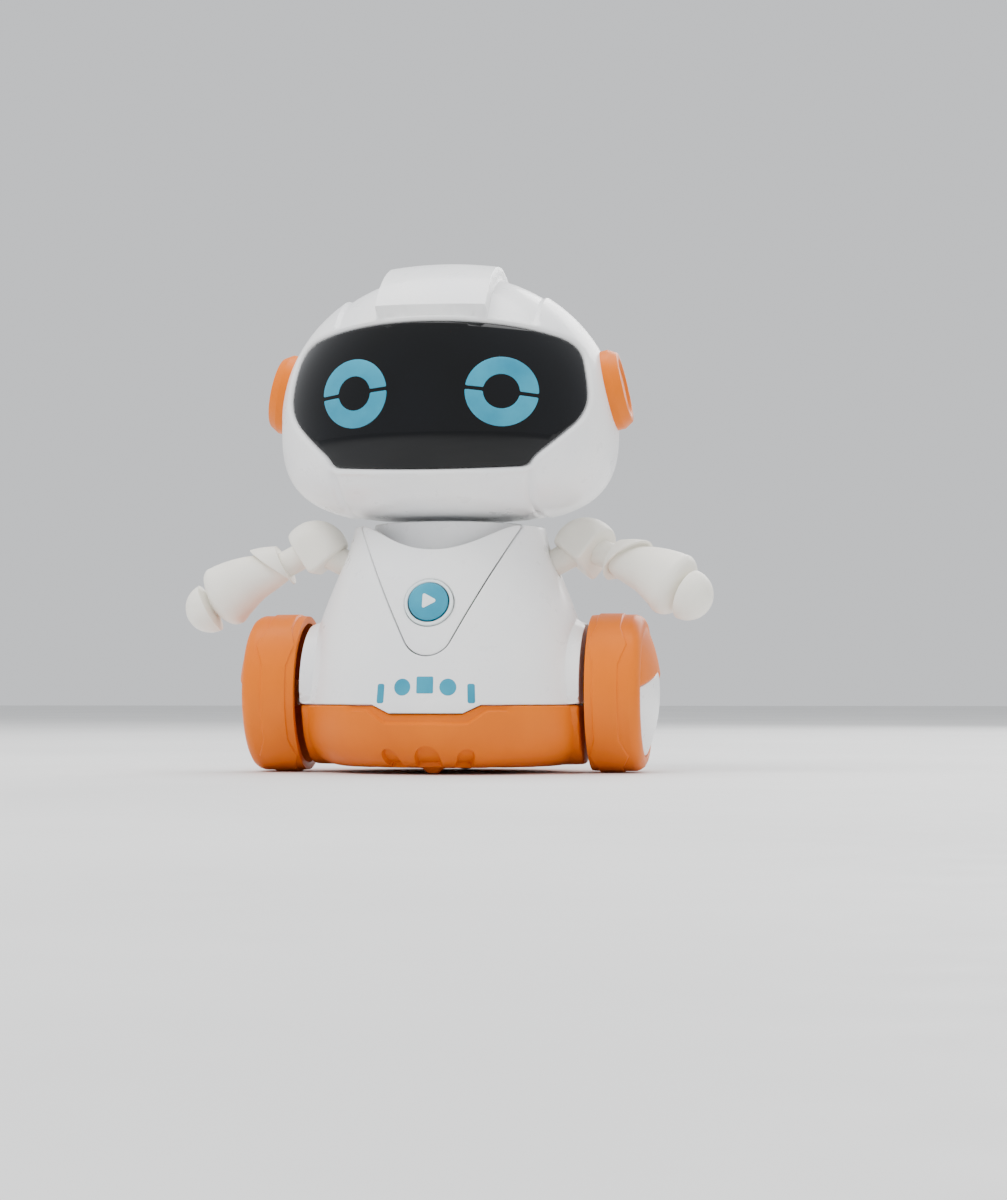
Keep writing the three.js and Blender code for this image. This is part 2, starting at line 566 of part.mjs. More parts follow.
function torsoShells() {
  const wall = trunk(0).subtract(trunk(WALL)).intersect(aboveSeam(1)).subtract(neckline());
  const pegHole = solid(rod(ARM.peg + GAP, pegAt(-14), pegAt(0), 12));
  const holes = [pegHole, onSide(-1, pegHole), axleHoles()];
  const bibHole = solid(plateY(bibOutline(GAP / 2), -FAR, 0, 3));
  const speakerSlots = [-2, -1, 0, 1, 2].map((i) => {
    const half = GRILLE.half - Math.abs(i) * GRILLE.taper;
    const z = SPEAKER.z + i * GRILLE.pitch;
    return solid(block([-half, 20, z - GRILLE.halfSlot], [half, FAR, z + GRILLE.halfSlot]));
  });
  const switchSlot = solid(block([-SWITCH.halfX, 28, SWITCH.z - SWITCH.halfZ],
    [SWITCH.halfX, FAR, SWITCH.z + SWITCH.halfZ]));
  piece('torso_front_shell', cut(wall.intersect(frontSpace), ...holes, bibHole), WHITE);
  piece('torso_rear_shell', cut(wall.intersect(rearSpace), ...holes, switchSlot,
    ...speakerSlots), WHITE);
  const buttonHole = solid(rod(BUTTON.ringRadius + GAP, chest(-6), chest(4), 20));
  const panel = wall.intersect(solid(plateY(bibOutline(-GAP / 2), -FAR, -2, 3)));
  piece('chest_bib_panel', panel.subtract(buttonHole), WHITE);
}

function chestButton() {
  const { radius, ringRadius, travel, stem } = BUTTON;
  const { foot, flange, flangeHigh, proud } = BUTTON_RING;
  piece('button_light_ring', onChest(turned([
    [radius + GAP, foot], [ringRadius + flange, foot], [ringRadius + flange, foot + flangeHigh],
    [ringRadius, foot + flangeHigh], [ringRadius, proud], [radius + GAP, proud]], 20), 0), CLEAR);
  const cap = turned([[0, -2.2], [stem, -2.2], [stem, -0.9], [radius, -0.9], [radius, 0.6],
    [radius - 0.5, 0.9], [0, 1.05]], 20);
  piece('chest_button', onChest(cap, BUTTON.proud), TEAL);
  const { half, low, high, plunger, tip } = TACT;
  const tact = join(
    solid(onChest(block([-half, -half, low], [half, half, high]), 0)),
    solid(rod(plunger, chest(high - GAP), chest(tip - travel), 10)));
  piece('tact_switch', tact, DARK);
}

// ---------------------------------------------------------------- boards and speaker
// Low and high corners in the chest wall's own frame, where Z is the height above the wall.
const CHEST_BOARD = [[-13, -19, -9.8], [13, 4.5, -8.3]];
const CHIP = [[-5, -15, -11], [5, -6, -9.6]];
const SOCKET = [[6, -3, -14], [12, 2, -9.6]];
const SENSOR_BOARD = [[-11, -25.5, 4.6], [11, -18.2, 6]];

function electronics() {
  const boxes = [CHEST_BOARD, CHIP, SOCKET].map(([low, high]) => solid(onChest(block(low, high), 0)));
  piece('main_circuit_board', join(...boxes), BOARD);
  const { z, radius: cone, rim, magnet, depth, behind } = SPEAKER;
  const facing = turned([[0, -depth], [magnet, -depth], [magnet, -SPEAKER.cone], [cone, -rim],
    [cone, 0], [0, 0]], 20);
  const turn = new THREE.Quaternion().setFromUnitVectors(
    new THREE.Vector3(0, 0, 1), new THREE.Vector3(0, Math.cos(CHEST_TILT), Math.sin(CHEST_TILT)));
  piece('speaker', facing.applyQuaternion(turn).translate(0, bellRadius(z) - WALL - behind, z), DARK);
  const sensors = [-SENSOR.x, SENSOR.x].map((x) => solid(
    rod(SENSOR.radius, [x, SENSOR.y, SENSOR.bottom], [x, SENSOR.y, 5], 10)));
  piece('line_sensor_board', join(solid(block(...SENSOR_BOARD)), ...sensors), BOARD);
}

// ---------------------------------------------------------------- base
const BASE_SCREWS = [[1, 1], [-1, 1], [1, -1], [-1, -1]]
  .map(([i, j]) => [SCREW.x * i, SCREW.y * j]);
// Three pockets across the front: the angle round the base, half width, top and bottom of each.
const POCKETS = [[-16.3, 2.15, 6.2, 1.2], [0, 3.1, 6.9, 1.6], [16.3, 2.15, 6.2, 1.2]];

function baseShell() {
  const shell = trunk(0).subtract(trunk(WALL)).intersect(aboveSeam(-1));
  const grown = roundedRect(DOOR.halfX + GAP, DOOR.halfY + GAP, DOOR.corner + GAP);
  const doorway = solid(extruded(grown, 4, 4));
  const posts = BASE_SCREWS.map(([x, y]) => solid(
    rod(SCREW.post, [x, y, SCREW.postLow], [x, y, TORSO.seam - SCREW.postShort], 8)));
  const screwHoles = BASE_SCREWS.flatMap(([x, y]) => [
    solid(rod(SCREW.hole, [x, y, 0], [x, y, 20], 6)),
    solid(rod(SCREW.sink, [x, y, 0], [x, y, SCREW.sunk], 8))]);
  const { bottom, tip, foot, side, top: skidTop } = SKID;
  const skid = solid(turned([[0, bottom], [tip, bottom], [foot, side], [foot, skidTop], [0, skidTop]], 12)
    .translate(0, SKID.y, 0));
  const windows = [-SENSOR.x, SENSOR.x].map((x) => solid(
    rod(SENSOR.window, [x, SENSOR.y, 0], [x, SENSOR.y, 5], 8)));
  const slots = POCKETS.map(([angle, width, top, low]) => {
    const s = new THREE.Shape();
    s.absarc(0, top - width, width, 0, Math.PI);
    s.lineTo(-width, low);
    s.lineTo(width, low);
    s.closePath();
    // the pocket's floor follows the curve of the bowl
    const floor = block([-9, 0, -30], [9, 30, 30]).rotateX(0.8).translate(0, 0.9 - bowlRadius(4), 4);
    const pocket = solid(plateY(s, -40, -20, 3)).subtract(solid(floor));
    return solid(geometryOf(pocket).rotateZ(THREE.MathUtils.degToRad(angle)));
  });
  const casterHole = [
    solid(rod(CASTER.radius - CASTER.lipIn, [0, CASTER.y, 0], [0, CASTER.y, 4], 16)),
    solid(rod(CASTER.radius + CASTER.socket, [0, CASTER.y, CASTER.lip], [0, CASTER.y, 4.5], 16))];
  piece('base_shell', cut(join(shell, ...posts, skid), ...screwHoles, doorway, ...windows,
    ...slots, ...casterHole, axleHoles()), ORANGE);
  BASE_SCREWS.forEach(([x, y], i) => {
    const { shank, head } = SCREW;
    const screw = turned([[0, 2.2], [head, 2.2], [head, 3.1], [shank, 3.7], [shank, 12],
      [0, 12.6]], 8);
    piece(`base_screw_${i + 1}`, screw.translate(x, y, 0), STEEL);
  });
}

function batteries() {
  const { halfX, halfY, corner, thick } = DOOR;
  const door = extruded(roundedRect(halfX, halfY, corner), thick, 4).translate(0, 0, BOWL.bottom);
  const { y: screwY, hole, sink } = DOOR_SCREW;
  const screwHole = solid(rod(hole, [0, screwY, 0], [0, screwY, 5], 12));
  const counterbore = solid(rod(sink, [0, screwY, 0], [0, screwY, 2.2], 14));
  piece('battery_door', cut(solid(door), screwHole, counterbore), ORANGE);
  const { shank, head } = SCREW;
  const screw = turned([[0, 1.55], [head, 1.55], [head, 2.0], [shank, 2.3], [shank, 4.1],
    [0, 4.4]], 8);
  piece('battery_door_screw', screw.translate(0, screwY, 0), STEEL);
  const box = BATTERY_BOX;
  const outer = solid(block([-box.x, -box.y, box.low], [box.x, box.y, box.high]));
  const inner = solid(block([box.wall - box.x, box.wall - box.y, 0],
    [box.x - box.wall, box.y - box.wall, box.high - box.wall]));
  piece('battery_box', outer.subtract(inner), DARK);
  const { nub, nubLong } = CELL;
  const half = CELL.length / 2;
  [-1, 0, 1].forEach((i) => {
    const can = turnedX([[0, -half], [CELL.radius, -half], [CELL.radius, half - nubLong],
      [nub, half - nubLong], [nub, half], [0, half]], 16);
    // the middle cell faces the other way, so that the three are in series
    if (i === 0) can.rotateZ(Math.PI);
    piece(`battery_cell_${i + 2}`, can.translate(0, i * CELL.pitch, CELL.z), CELL_WRAP);
  });
  for (const [name, side] of [['left', 1], ['right', -1]]) {
    const { gap, thick: metal, halfY: wide, low, high } = CONTACT;
    const faces = [side * (half + gap), side * (half + gap + metal)];
    const plate = block([Math.min(...faces), -wide, low], [Math.max(...faces), wide, high]);
    piece(`battery_contact_${name}`, plate, STEEL);
  }
}

function caster() {
  const { y, radius, socket, cup, low, floor, top } = CASTER;
  const ball = new THREE.SphereGeometry(radius, 16, 8).rotateZ(Math.PI / 2);
  piece('caster_ball', ball.translate(0, y, radius), STEEL);
  const housing = turned([[radius + socket, low], [radius + cup, low], [radius + cup, top],
    [0, top], [0, floor], [radius + socket, floor]], 16);
  piece('caster_housing', housing.translate(0, y, 0), DARK);
}

function powerSwitch() {
  const { z } = SWITCH;
  const out = bellRadius(z);
  const { halfX, halfZ, back, face, channelX, channelZ } = SWITCH_BOX;
  const channel = block([-channelX, out + KNOB.back - GAP, z - channelZ], [channelX, out, z + channelZ]);
  const body = cut(solid(block([-halfX, out + back, z - halfZ], [halfX, out + face, z + halfZ])),
    solid(channel));
  piece('power_switch_body', body, DARK);
  const { low, high, front, ribInset, ribHalfZ, ribFront } = KNOB;
  const knobBack = out + KNOB.back;
  const knob = join(
    solid(block([low, knobBack, z - KNOB.halfZ], [high, out + front, z + KNOB.halfZ])),
    solid(block([low + ribInset, knobBack, z - ribHalfZ],
      [high - ribInset, out + ribFront, z + ribHalfZ])));
  piece('power_switch_knob', knob, DARK);
}

// ---------------------------------------------------------------- drive
const AXLE_AT = [0, WHEEL.radius];
const stage = (teethA, teethB) => ((teethA + teethB) * GEAR.module) / 2;
const polar = ([y, z], reach, angle) => [y + reach * Math.cos(angle), z + reach * Math.sin(angle)];
const CLUSTER_AT = polar(AXLE_AT, stage(GEAR.output, GEAR.clusterPinion), IDLER_ANGLE);
const SHAFT_AT = polar(CLUSTER_AT, stage(GEAR.cluster, GEAR.motorPinion), MOTOR_ANGLE);
const alongX = (at, low, high, radius, segments) => solid(rod(radius, [low, ...at], [high, ...at], segments));

// A gear turned so that one of its teeth (or, with half a step more, a gap) faces `angle`.
function gearAt(teeth, low, high, bore, at, angle, gapFaces) {
  const step = (2 * Math.PI) / teeth;
  return spur(teeth, low, high, bore).rotateX(angle + (gapFaces ? step / 2 : 0))
    .translate(0, ...at);
}

function drive(name, side) {
  const { plate, stage1, stage2, cover, face } = TRAIN;
  const put = (label, body, material) => piece(`${label}_${name}`, onSide(side, body), material);
  const { axleEnd, motorEnd, pinEnd, plateThick, coverThick, pin } = GEARBOX;
  const pillars = [0, 2.3, Math.PI].map((angle) => polar(AXLE_AT, GEARBOX.pillarReach, angle));
  const aboveCells = solid(block([0, -30, GEARBOX.floor], [60, 40, 60]));
  const axleHole = alongX(AXLE_AT, 0, 40, AXLE_RADIUS + GEARBOX.axleSlack, 12);
  const pinHole = alongX(CLUSTER_AT, 0, 40, pin + GEARBOX.pinSlack, 10);

  const frame = join(
    solid(plateX(hull(AXLE_AT, axleEnd, SHAFT_AT, motorEnd), plate, plate + plateThick, 6))
      .intersect(aboveCells),
    ...pillars.map((at) => alongX(at, plate + plateThick / 2, cover - GAP, GEARBOX.pillar, 8)));
  put('gearbox_frame', cut(frame, axleHole, pinHole,
    alongX(SHAFT_AT, 0, 40, GEARBOX.shaftHole, 12)), NATURAL);
  const coverPlate = plateX(hull(AXLE_AT, axleEnd, CLUSTER_AT, pinEnd), cover, cover + coverThick, 6);
  put('gearbox_cover', cut(solid(coverPlate), axleHole, pinHole), NATURAL);
  put('cluster_pin', alongX(CLUSTER_AT, plate - GAP, cover + coverThick, pin, 8), STEEL);

  const motorCan = cut(alongX(SHAFT_AT, MOTOR.inner, MOTOR.outer, MOTOR.radius, 20),
    ...[[SHAFT_AT[1] + MOTOR.flat, FAR], [0, SHAFT_AT[1] - MOTOR.flat]].map(([low, high]) =>
      solid(block([0, -FAR, low], [FAR, FAR, high]))));
  const motorBore = alongX(SHAFT_AT, MOTOR.outer - MOTOR.boreDeep, 40, MOTOR.bore, 10);
  put('motor', cut(motorCan, motorBore), STEEL);

  put('wheel_gear', solid(gearAt(GEAR.output, stage2, stage2 + face, AXLE_RADIUS + GEAR.bore,
    AXLE_AT, IDLER_ANGLE, false)), NATURAL);
  const pinion = solid(gearAt(GEAR.clusterPinion, stage1 + face - GEAR.overlap, stage2 + face, 0,
    CLUSTER_AT, IDLER_ANGLE + Math.PI, true));
  const cluster = solid(gearAt(GEAR.cluster, stage1, stage1 + face, 0, CLUSTER_AT, MOTOR_ANGLE, false));
  const clusterBore = alongX(CLUSTER_AT, 0, 40, pin + GEARBOX.pinTurn, 12);
  put('reduction_gear', cut(join(cluster, pinion), clusterBore), NATURAL);
  const motorPinion = solid(gearAt(GEAR.motorPinion, stage1, stage1 + face, 0,
    SHAFT_AT, MOTOR_ANGLE + Math.PI, true));
  const motorShaft = alongX(SHAFT_AT, MOTOR.outer - MOTOR.shaftDeep, stage1 + 1, MOTOR.shaft, 8);
  put('motor_pinion', join(motorPinion, motorShaft), BRASS);

  const { radius, inner, tread, face: rim, capRadius, webBack, webFront, hub, hubLow } = WHEEL;
  const web = [tread - webBack, tread + webFront];
  put('axle', alongX(AXLE_AT, plate - GEARBOX.axleOver, web[1] - 0.1, AXLE_RADIUS, 12), STEEL);
  const [hole, seat] = [AXLE_RADIUS + WHEEL.bore, capRadius + WHEEL.capGap];
  const rimSolid = solid(turnedX([
    [radius - 0.5, inner], [radius, inner + 0.5], [radius, tread], [radius - 0.7, tread + 1.6],
    [radius - 2.3, rim - 0.1], [seat, rim], [seat, web[1]], [hole, web[1]], [hole, hubLow],
    [hub, hubLow], [hub, web[0]], [radius - WHEEL.wall, web[0]], [radius - WHEEL.wall, inner]],
  28).translate(0, ...AXLE_AT));
  // a shallow spherical cap on a round plug, lying on the wheel's outer face
  const dome = (height, radiusOut, low) => {
    const rise = height - rim + 0.3;
    const ball = (radiusOut ** 2 + rise ** 2) / (2 * rise);
    const span = Math.asin(radiusOut / ball);
    const arc = [0, 1, 2, 3].map((i) => [
      ball * Math.sin((span * i) / 3), height - ball + ball * Math.cos((span * i) / 3)]);
    return solid(turnedX([...arc, [radiusOut, low], [0, low]], 28).translate(0, ...AXLE_AT));
  };
  const { rise, fall, half, proud } = CHEVRON;
  const chevron = (gap) => {
    const peak = WHEEL.radius + rise + gap;
    const corners = [[-half, peak - fall], [0, peak], [half, peak - fall], [half, FAR], [-half, FAR]];
    const s = new THREE.Shape(corners.map(([y, z]) => new THREE.Vector2(y, z)));
    return solid(plateX(s, 40, FAR, 1));
  };
  const fin = dome(WHEEL.apex + proud, capRadius + 1, tread + 1).intersect(chevron(GAP / 2));
  put('wheel', join(rimSolid, fin), ORANGE);
  const cap = dome(WHEEL.apex, capRadius, web[1] + GAP).subtract(chevron(-GAP / 2));
  put('wheel_hub_cap', cap, WHITE);
}

// ---------------------------------------------------------------- arms
// The arm is made in place for the left side, hanging in the plane Y = 0, and then turned
// about its shoulder peg.
const FOREARM_OUT = new THREE.Vector3(Math.cos(ARM.pegTilt), 0, -Math.sin(ARM.pegTilt));
const FOREARM_UP = new THREE.Vector3(Math.sin(ARM.pegTilt), 0, Math.cos(ARM.pegTilt));
const foreAt = (reach, up = 0) => ARM_HUB.clone().addScaledVector(FOREARM_OUT, reach)
  .addScaledVector(FOREARM_UP, up).toArray();

function hood() {
  const { radius, drop, halfDepth, inner, outer, tip, corner, length } = HOOD;
  const centre = [ARM.hubX, 0, ARM.hubZ - drop];
  const ball = new THREE.SphereGeometry(radius, 16, 10).rotateX(Math.PI / 2).translate(...centre);
  const s = new THREE.Shape();
  const low = -tip + corner * 1.5;
  // the end of a straight side that leaves the rounded tip at `lean` from upright
  const sideEnd = (lean, way) => [
    way * (corner * Math.cos(lean) + length * Math.sin(lean)),
    low - corner * Math.sin(lean) + length * Math.cos(lean)];
  s.absarc(0, low, corner, 1.5 * Math.PI - inner, 1.5 * Math.PI + outer);
  s.lineTo(...sideEnd(outer, 1));
  s.lineTo(...sideEnd(inner, -1));
  s.closePath();
  const fan = plateY(s, -halfDepth, halfDepth, 5).translate(centre[0], 0, centre[2]);
  return solid(ball).intersect(solid(fan));
}

// The forearm's outline along its own axis: [reach from the sleeve's end, height, depth, lift].
const SLEEVE = [[0, 4.3, 4.2, 0], [0.5, 5.2, 5.0, 0], [3, 6.4, 6.1, 0.1], [8, 7.0, 6.6, 0.8],
  [15.8, 7.3, 6.8, 1.8]];
const GAUNTLET = [[4, 4.6, 4.4, 0.4], [9, 5.9, 5.8, 0.9], [13.5, 7.2, 6.6, 0.6],
  [16.6, 7.9, 7.0, 0.2], [18.6, 7.5, 6.8, 0.5], [20.2, 5.4, 5.2, 0.6], [20.9, 3.0, 3.0, -0.4]];
const HAND = [[20.6, 2.6, 2.6, -0.5], [21.5, 2.6, 2.6, -0.6], [21.6, 5.7, 5.7, -0.6],
  [22.2, 6.2, 6.2, -0.6], [24.6, 5.7, 5.7, -0.6], [27, 3.9, 3.9, -0.6], [28.1, 1.6, 1.6, -0.6]];

function limb(stations, sides) {
  const row = ([reach, height, depth, lift]) => {
    const points = [];
    for (let i = 0; i < sides; i += 1) {
      const angle = (i / sides) * 2 * Math.PI;
      const p = new THREE.Vector3(...foreAt(ARM.reach + reach, lift + height * Math.sin(angle)));
      p.y = depth * Math.cos(angle);
      points.push(p);
    }
    return points;
  };
  const end = ([reach, , , lift]) => {
    const tip = new THREE.Vector3(...foreAt(ARM.reach + reach, lift));
    return Array(sides).fill(tip);
  };
  return solid(skin([end(stations[0]), ...stations.map(row), end(stations.at(-1))], 'cap'));
}

// The sleeve's cuff is cut on a slant, long on top.
function cuffCut() {
  const [nearLow, farHigh] = [[6.6, -9], [16.2, 9.6]];
  const corners = [nearLow, farHigh, [40, 9.6], [40, -9]].map(([reach, up]) => {
    const p = foreAt(ARM.reach + reach, up);
    return new THREE.Vector2(p[0], p[2]);
  });
  return solid(plateY(new THREE.Shape(corners), -12, 12, 1));
}

function arm(name, side, swing) {
  const group = new THREE.Group();
  const axis = PEG_OUT.clone();
  axis.x *= side;
  const hub = ARM_HUB.clone();
  hub.x *= side;
  group.position.copy(hub);
  group.quaternion.setFromAxisAngle(axis, swing);
  robot.add(group);
  const put = (label, body, material) => {
    const shape = geometryOf(onSide(side, body)).translate(...hub.clone().negate().toArray());
    piece(`${label}_${name}`, shape, material, group);
  };
  // the peg goes through the torso's wall and ends in a barb behind it
  const pegEnd = PEG.wall - PEG.length;
  const peg = solid(rod(ARM.peg, pegAt(pegEnd), pegAt(0), 12));
  const barb = solid(rod(ARM.peg + PEG.barb, pegAt(pegEnd - PEG.barbLong), pegAt(pegEnd + PEG.grip), 12));
  const socket = solid(rod(ARM.peg + GAP, foreAt(PEG.socketFrom), foreAt(20), 14));
  put('shoulder', cut(join(hood(), peg, barb), socket), IVORY);
  const sleeve = limb(SLEEVE, 16).subtract(cuffCut());
  put('forearm', join(sleeve, limb(GAUNTLET, 16), limb(HAND, 14),
    solid(rod(ARM.peg, foreAt(PEG.foreFrom), foreAt(ARM.reach + 1), 12))), IVORY);
}

// ---------------------------------------------------------------- assembly
headShells();
visor();
ears();
eyeLights();
neck();
torsoShells();
chestButton();
electronics();
baseShell();
batteries();
caster();
powerSwitch();
drive('left', 1);
drive('right', -1);
arm('left', 1, -LEFT_ARM_SWING);
arm('right', -1, 0);

export default robot;
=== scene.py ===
import json
import math

import bpy
import numpy as np
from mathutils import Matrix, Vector
from mathutils.geometry import delaunay_2d_cdt


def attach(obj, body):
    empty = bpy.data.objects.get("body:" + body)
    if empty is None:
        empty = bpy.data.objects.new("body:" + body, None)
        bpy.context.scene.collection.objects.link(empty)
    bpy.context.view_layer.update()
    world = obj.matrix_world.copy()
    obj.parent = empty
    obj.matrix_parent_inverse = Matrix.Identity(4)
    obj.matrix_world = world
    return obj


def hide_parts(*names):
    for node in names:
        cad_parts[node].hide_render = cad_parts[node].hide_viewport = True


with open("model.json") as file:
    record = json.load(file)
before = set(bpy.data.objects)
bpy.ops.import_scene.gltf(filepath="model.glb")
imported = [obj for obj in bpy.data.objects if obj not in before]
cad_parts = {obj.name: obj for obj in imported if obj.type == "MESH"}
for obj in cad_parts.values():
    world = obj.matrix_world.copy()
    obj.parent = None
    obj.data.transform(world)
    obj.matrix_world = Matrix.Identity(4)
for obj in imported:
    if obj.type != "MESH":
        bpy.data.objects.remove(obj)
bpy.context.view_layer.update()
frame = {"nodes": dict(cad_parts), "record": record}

MM = 0.001

# ------------------------------------------------------------------ driving dimensions, mm
GAP = 0.3
WALL = 2.0
HEAD_MIDDLE = np.array([0.0, 0.0, 86.5])
HEAD_WIDE, HEAD_DEEP, HEAD_RISE, HEAD_DROP, HEAD_SQUARE = 41.7, 37.0, 37.0, 25.4, 3.3
RIDGE_TOP, RIDGE_DEEP, RIDGE_SHIFT, RIDGE_BACK = 38.3, 38.0, 1.0, 99.0
RIDGE_FLANK, RIDGE_HALF, RIDGE_EDGE, RIDGE_SLOPE, RIDGE_FADE = (12.2, 13.7), 12.7, 13.0, 1.1, 5.0
PANEL_STEP, PANEL_DEPTH, PANEL_FOOT, STEP_FOOT = (24.2, 24.8), 0.85, (100, 101), 108.6
CREASE_X, CREASE_WIDTH, CREASE_DEPTH, CHIN_SINK, CHIN_TOP = 23.2, 0.75, 0.95, 0.5, (71, 74)
VISOR_RECESS, VISOR_THICK = 0.8, 1.7
PRINT_LIFT, PRINT_THICK = 0.05, 0.12
EYE_X, EYE_Z, EYE_OUTER, EYE_INNER, EYE_TILT, EYE_GAP = 18.0, 90.3, 8.5, 4.2, 0.1, 0.9
EAR_TILT, EAR_FOOT = 0.215, np.array([40.4, 0.0, 93.5])
SEAM, NECKLINE, SCOOP = 16.5, 60.0, 6.4
FLAT = 34.0
BELL = np.array([[36.3, 16.5], [34.8, 26], [31.9, 36.7], [28.2, 46.3], [25.2, 53.5], [23.4, 60]])
BOSS_EDGE = (16.8, 17.7)
AXLE_Z = 19.4
BIB_SLOPE, BIB_APEX, BIB_TIP = 0.515, 20.2, 6.2
BUTTON_Z, BUTTON_HOLE, CHEST_TILT = 40.7, 6.1, 0.35
NOTCH_TOP, NOTCH_LOW, NOTCH_DEPTH = 13.3, 8.9, 2.1
BOWL_RADIUS, BOWL_CORE, BOWL_BOTTOM, BOWL_POWER = 36.3, 24.0, 1.5, 2.5
HUB = np.array([33.8, 0.0, 55.3])
PEG_TILT, ARM_REACH, LEFT_SWING = 0.48, 8.8, -0.454


# ------------------------------------------------------------------ small mathematics
def ease(low, high, value):
    """Rises smoothly from 0 at `low` to 1 at `high`."""
    t = np.clip((value - low) / (high - low), 0.0, 1.0)
    return t * t * (3.0 - 2.0 * t)


def soft_max(a, b, width):
    return 0.5 * (a + b + np.sqrt((a - b) ** 2 + width * width))


def soft_min(a, b, width):
    return 0.5 * (a + b - np.sqrt((a - b) ** 2 + width * width))


def resample(points, step, closed=True):
    """The same line with its points about `step` apart."""
    points = np.asarray(points, float)
    line = np.vstack([points, points[:1]]) if closed else points
    along = np.concatenate([[0], np.cumsum(np.linalg.norm(np.diff(line, axis=0), axis=1))])
    count = max(int(round(along[-1] / step)), 3)
    at = np.linspace(0, along[-1], count + 1)
    if closed:
        at = at[:-1]
    return np.stack([np.interp(at, along, line[:, i]) for i in range(line.shape[1])], axis=1)


def keep_corners(points, step, closed=True):
    """The same line with points added so that none are further apart than `step`."""
    points = np.asarray(points, float)
    ends = np.roll(points, -1, axis=0) if closed else points[1:]
    out = []
    for a, b in zip(points, ends):
        parts = max(int(np.ceil(np.linalg.norm(b - a) / step)), 1)
        out += [a + (b - a) * i / parts for i in range(parts)]
    if not closed:
        out.append(points[-1])
    return np.array(out)


def arc(centre, radius, start, end, steps):
    angles = np.linspace(start, end, steps)
    return columns(centre[0] + radius * np.cos(angles), centre[1] + radius * np.sin(angles))


def circle(centre, radius, count):
    return arc(centre, radius, 0, 2 * math.pi, count + 1)[:-1]


def bezier(corners, steps):
    """A Bezier curve with these control points."""
    t = np.linspace(0, 1, steps)[:, None]
    last = len(corners) - 1
    return sum(math.comb(last, k) * (1 - t) ** (last - k) * t ** k * np.array(corner)
               for k, corner in enumerate(corners))


def through(knots, values, at):
    """A smooth curve through the knots, read at `at`."""
    knots, values = np.asarray(knots, float), np.asarray(values, float)
    slopes = np.gradient(values, knots)
    i = np.clip(np.searchsorted(knots, at) - 1, 0, len(knots) - 2)
    width = knots[i + 1] - knots[i]
    t = np.clip((at - knots[i]) / width, -0.2, 1.2)
    return ((2 * t ** 3 - 3 * t ** 2 + 1) * values[i] + (t ** 3 - 2 * t ** 2 + t) * width * slopes[i]
            + (3 * t ** 2 - 2 * t ** 3) * values[i + 1] + (t ** 3 - t ** 2) * width * slopes[i + 1])


def inside(points, loops):
    """Which points lie inside an odd number of the loops."""
    hit = np.zeros(len(points), bool)
    x, y = points[:, 0], points[:, 1]
    for loop in loops:
        for (x0, y0), (x1, y1) in zip(loop, np.roll(loop, -1, axis=0)):
            if y0 != y1:
                hit ^= ((y0 > y) != (y1 > y)) & (x < (x1 - x0) * (y - y0) / (y1 - y0) + x0)
    return hit


def signed_area(loop):
    """Twice the loop's area, below zero where it runs clockwise."""
    x, y = loop.T
    return np.sum(x * np.roll(y, -1) - np.roll(x, -1) * y)


def line_distance(points, line, closed=True):
    """How far each point is from the line."""
    best = np.full(len(points), 1e9)
    ends = np.roll(line, -1, axis=0) if closed else line[1:]
    for p, q in zip(line, ends):
        d = q - p
        t = np.clip(((points - p) @ d) / max(d @ d, 1e-12), 0, 1)
        off = points - p - t[:, None] * d
        best = np.minimum(best, off[:, 0] ** 2 + off[:, 1] ** 2)
    return np.sqrt(best)


def unit(v):
    v = np.asarray(v, float)
    return v / np.linalg.norm(v, axis=-1, keepdims=True)


def columns(*values):
    """Points from their separate coordinates."""
    return np.stack(np.broadcast_arrays(*values), axis=-1)


def once_round(count):
    return np.linspace(0, 2 * math.pi, count, endpoint=False)


def facing(direction):
    """The turn that points a lamp or a camera this way."""
    return Vector(direction).to_track_quat("-Z", "Y").to_euler()


# ------------------------------------------------------------------ meshes
def new_object(name, data):
    item = bpy.data.objects.new(name, data)
    bpy.context.scene.collection.objects.link(item)
    return item


def add_piece(name, points, faces, body, slot, stands_for=(), crisp=38):
    """A finished mesh, riding on a body, with its material and the CAD nodes it stands for."""
    mesh = bpy.data.meshes.new(name)
    mesh.from_pydata((np.asarray(points) * MM).tolist(), [], [list(map(int, f)) for f in faces])
    mesh.validate()
    mesh.shade_smooth()
    mesh.set_sharp_from_angle(angle=math.radians(crisp))
    mesh.materials.append(MATERIALS[slot])
    piece = new_object(name, mesh)
    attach(piece, body)
    if stands_for:
        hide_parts(*stands_for)
    return piece


def together(*parts):
    """Several closed meshes as one list of points and faces."""
    points, faces, start = [], [], 0
    for p, f in parts:
        points.append(p)
        faces += [[int(i) + start for i in face] for face in f]
        start += len(p)
    return np.vstack(points), faces


ROW_STEP = 0.866                # height of an even triangle of side 1
ROUND_STEPS = (0.134, 0.5, 1.0)  # where rings of points lie across a rounded edge
TINY = 1e-9


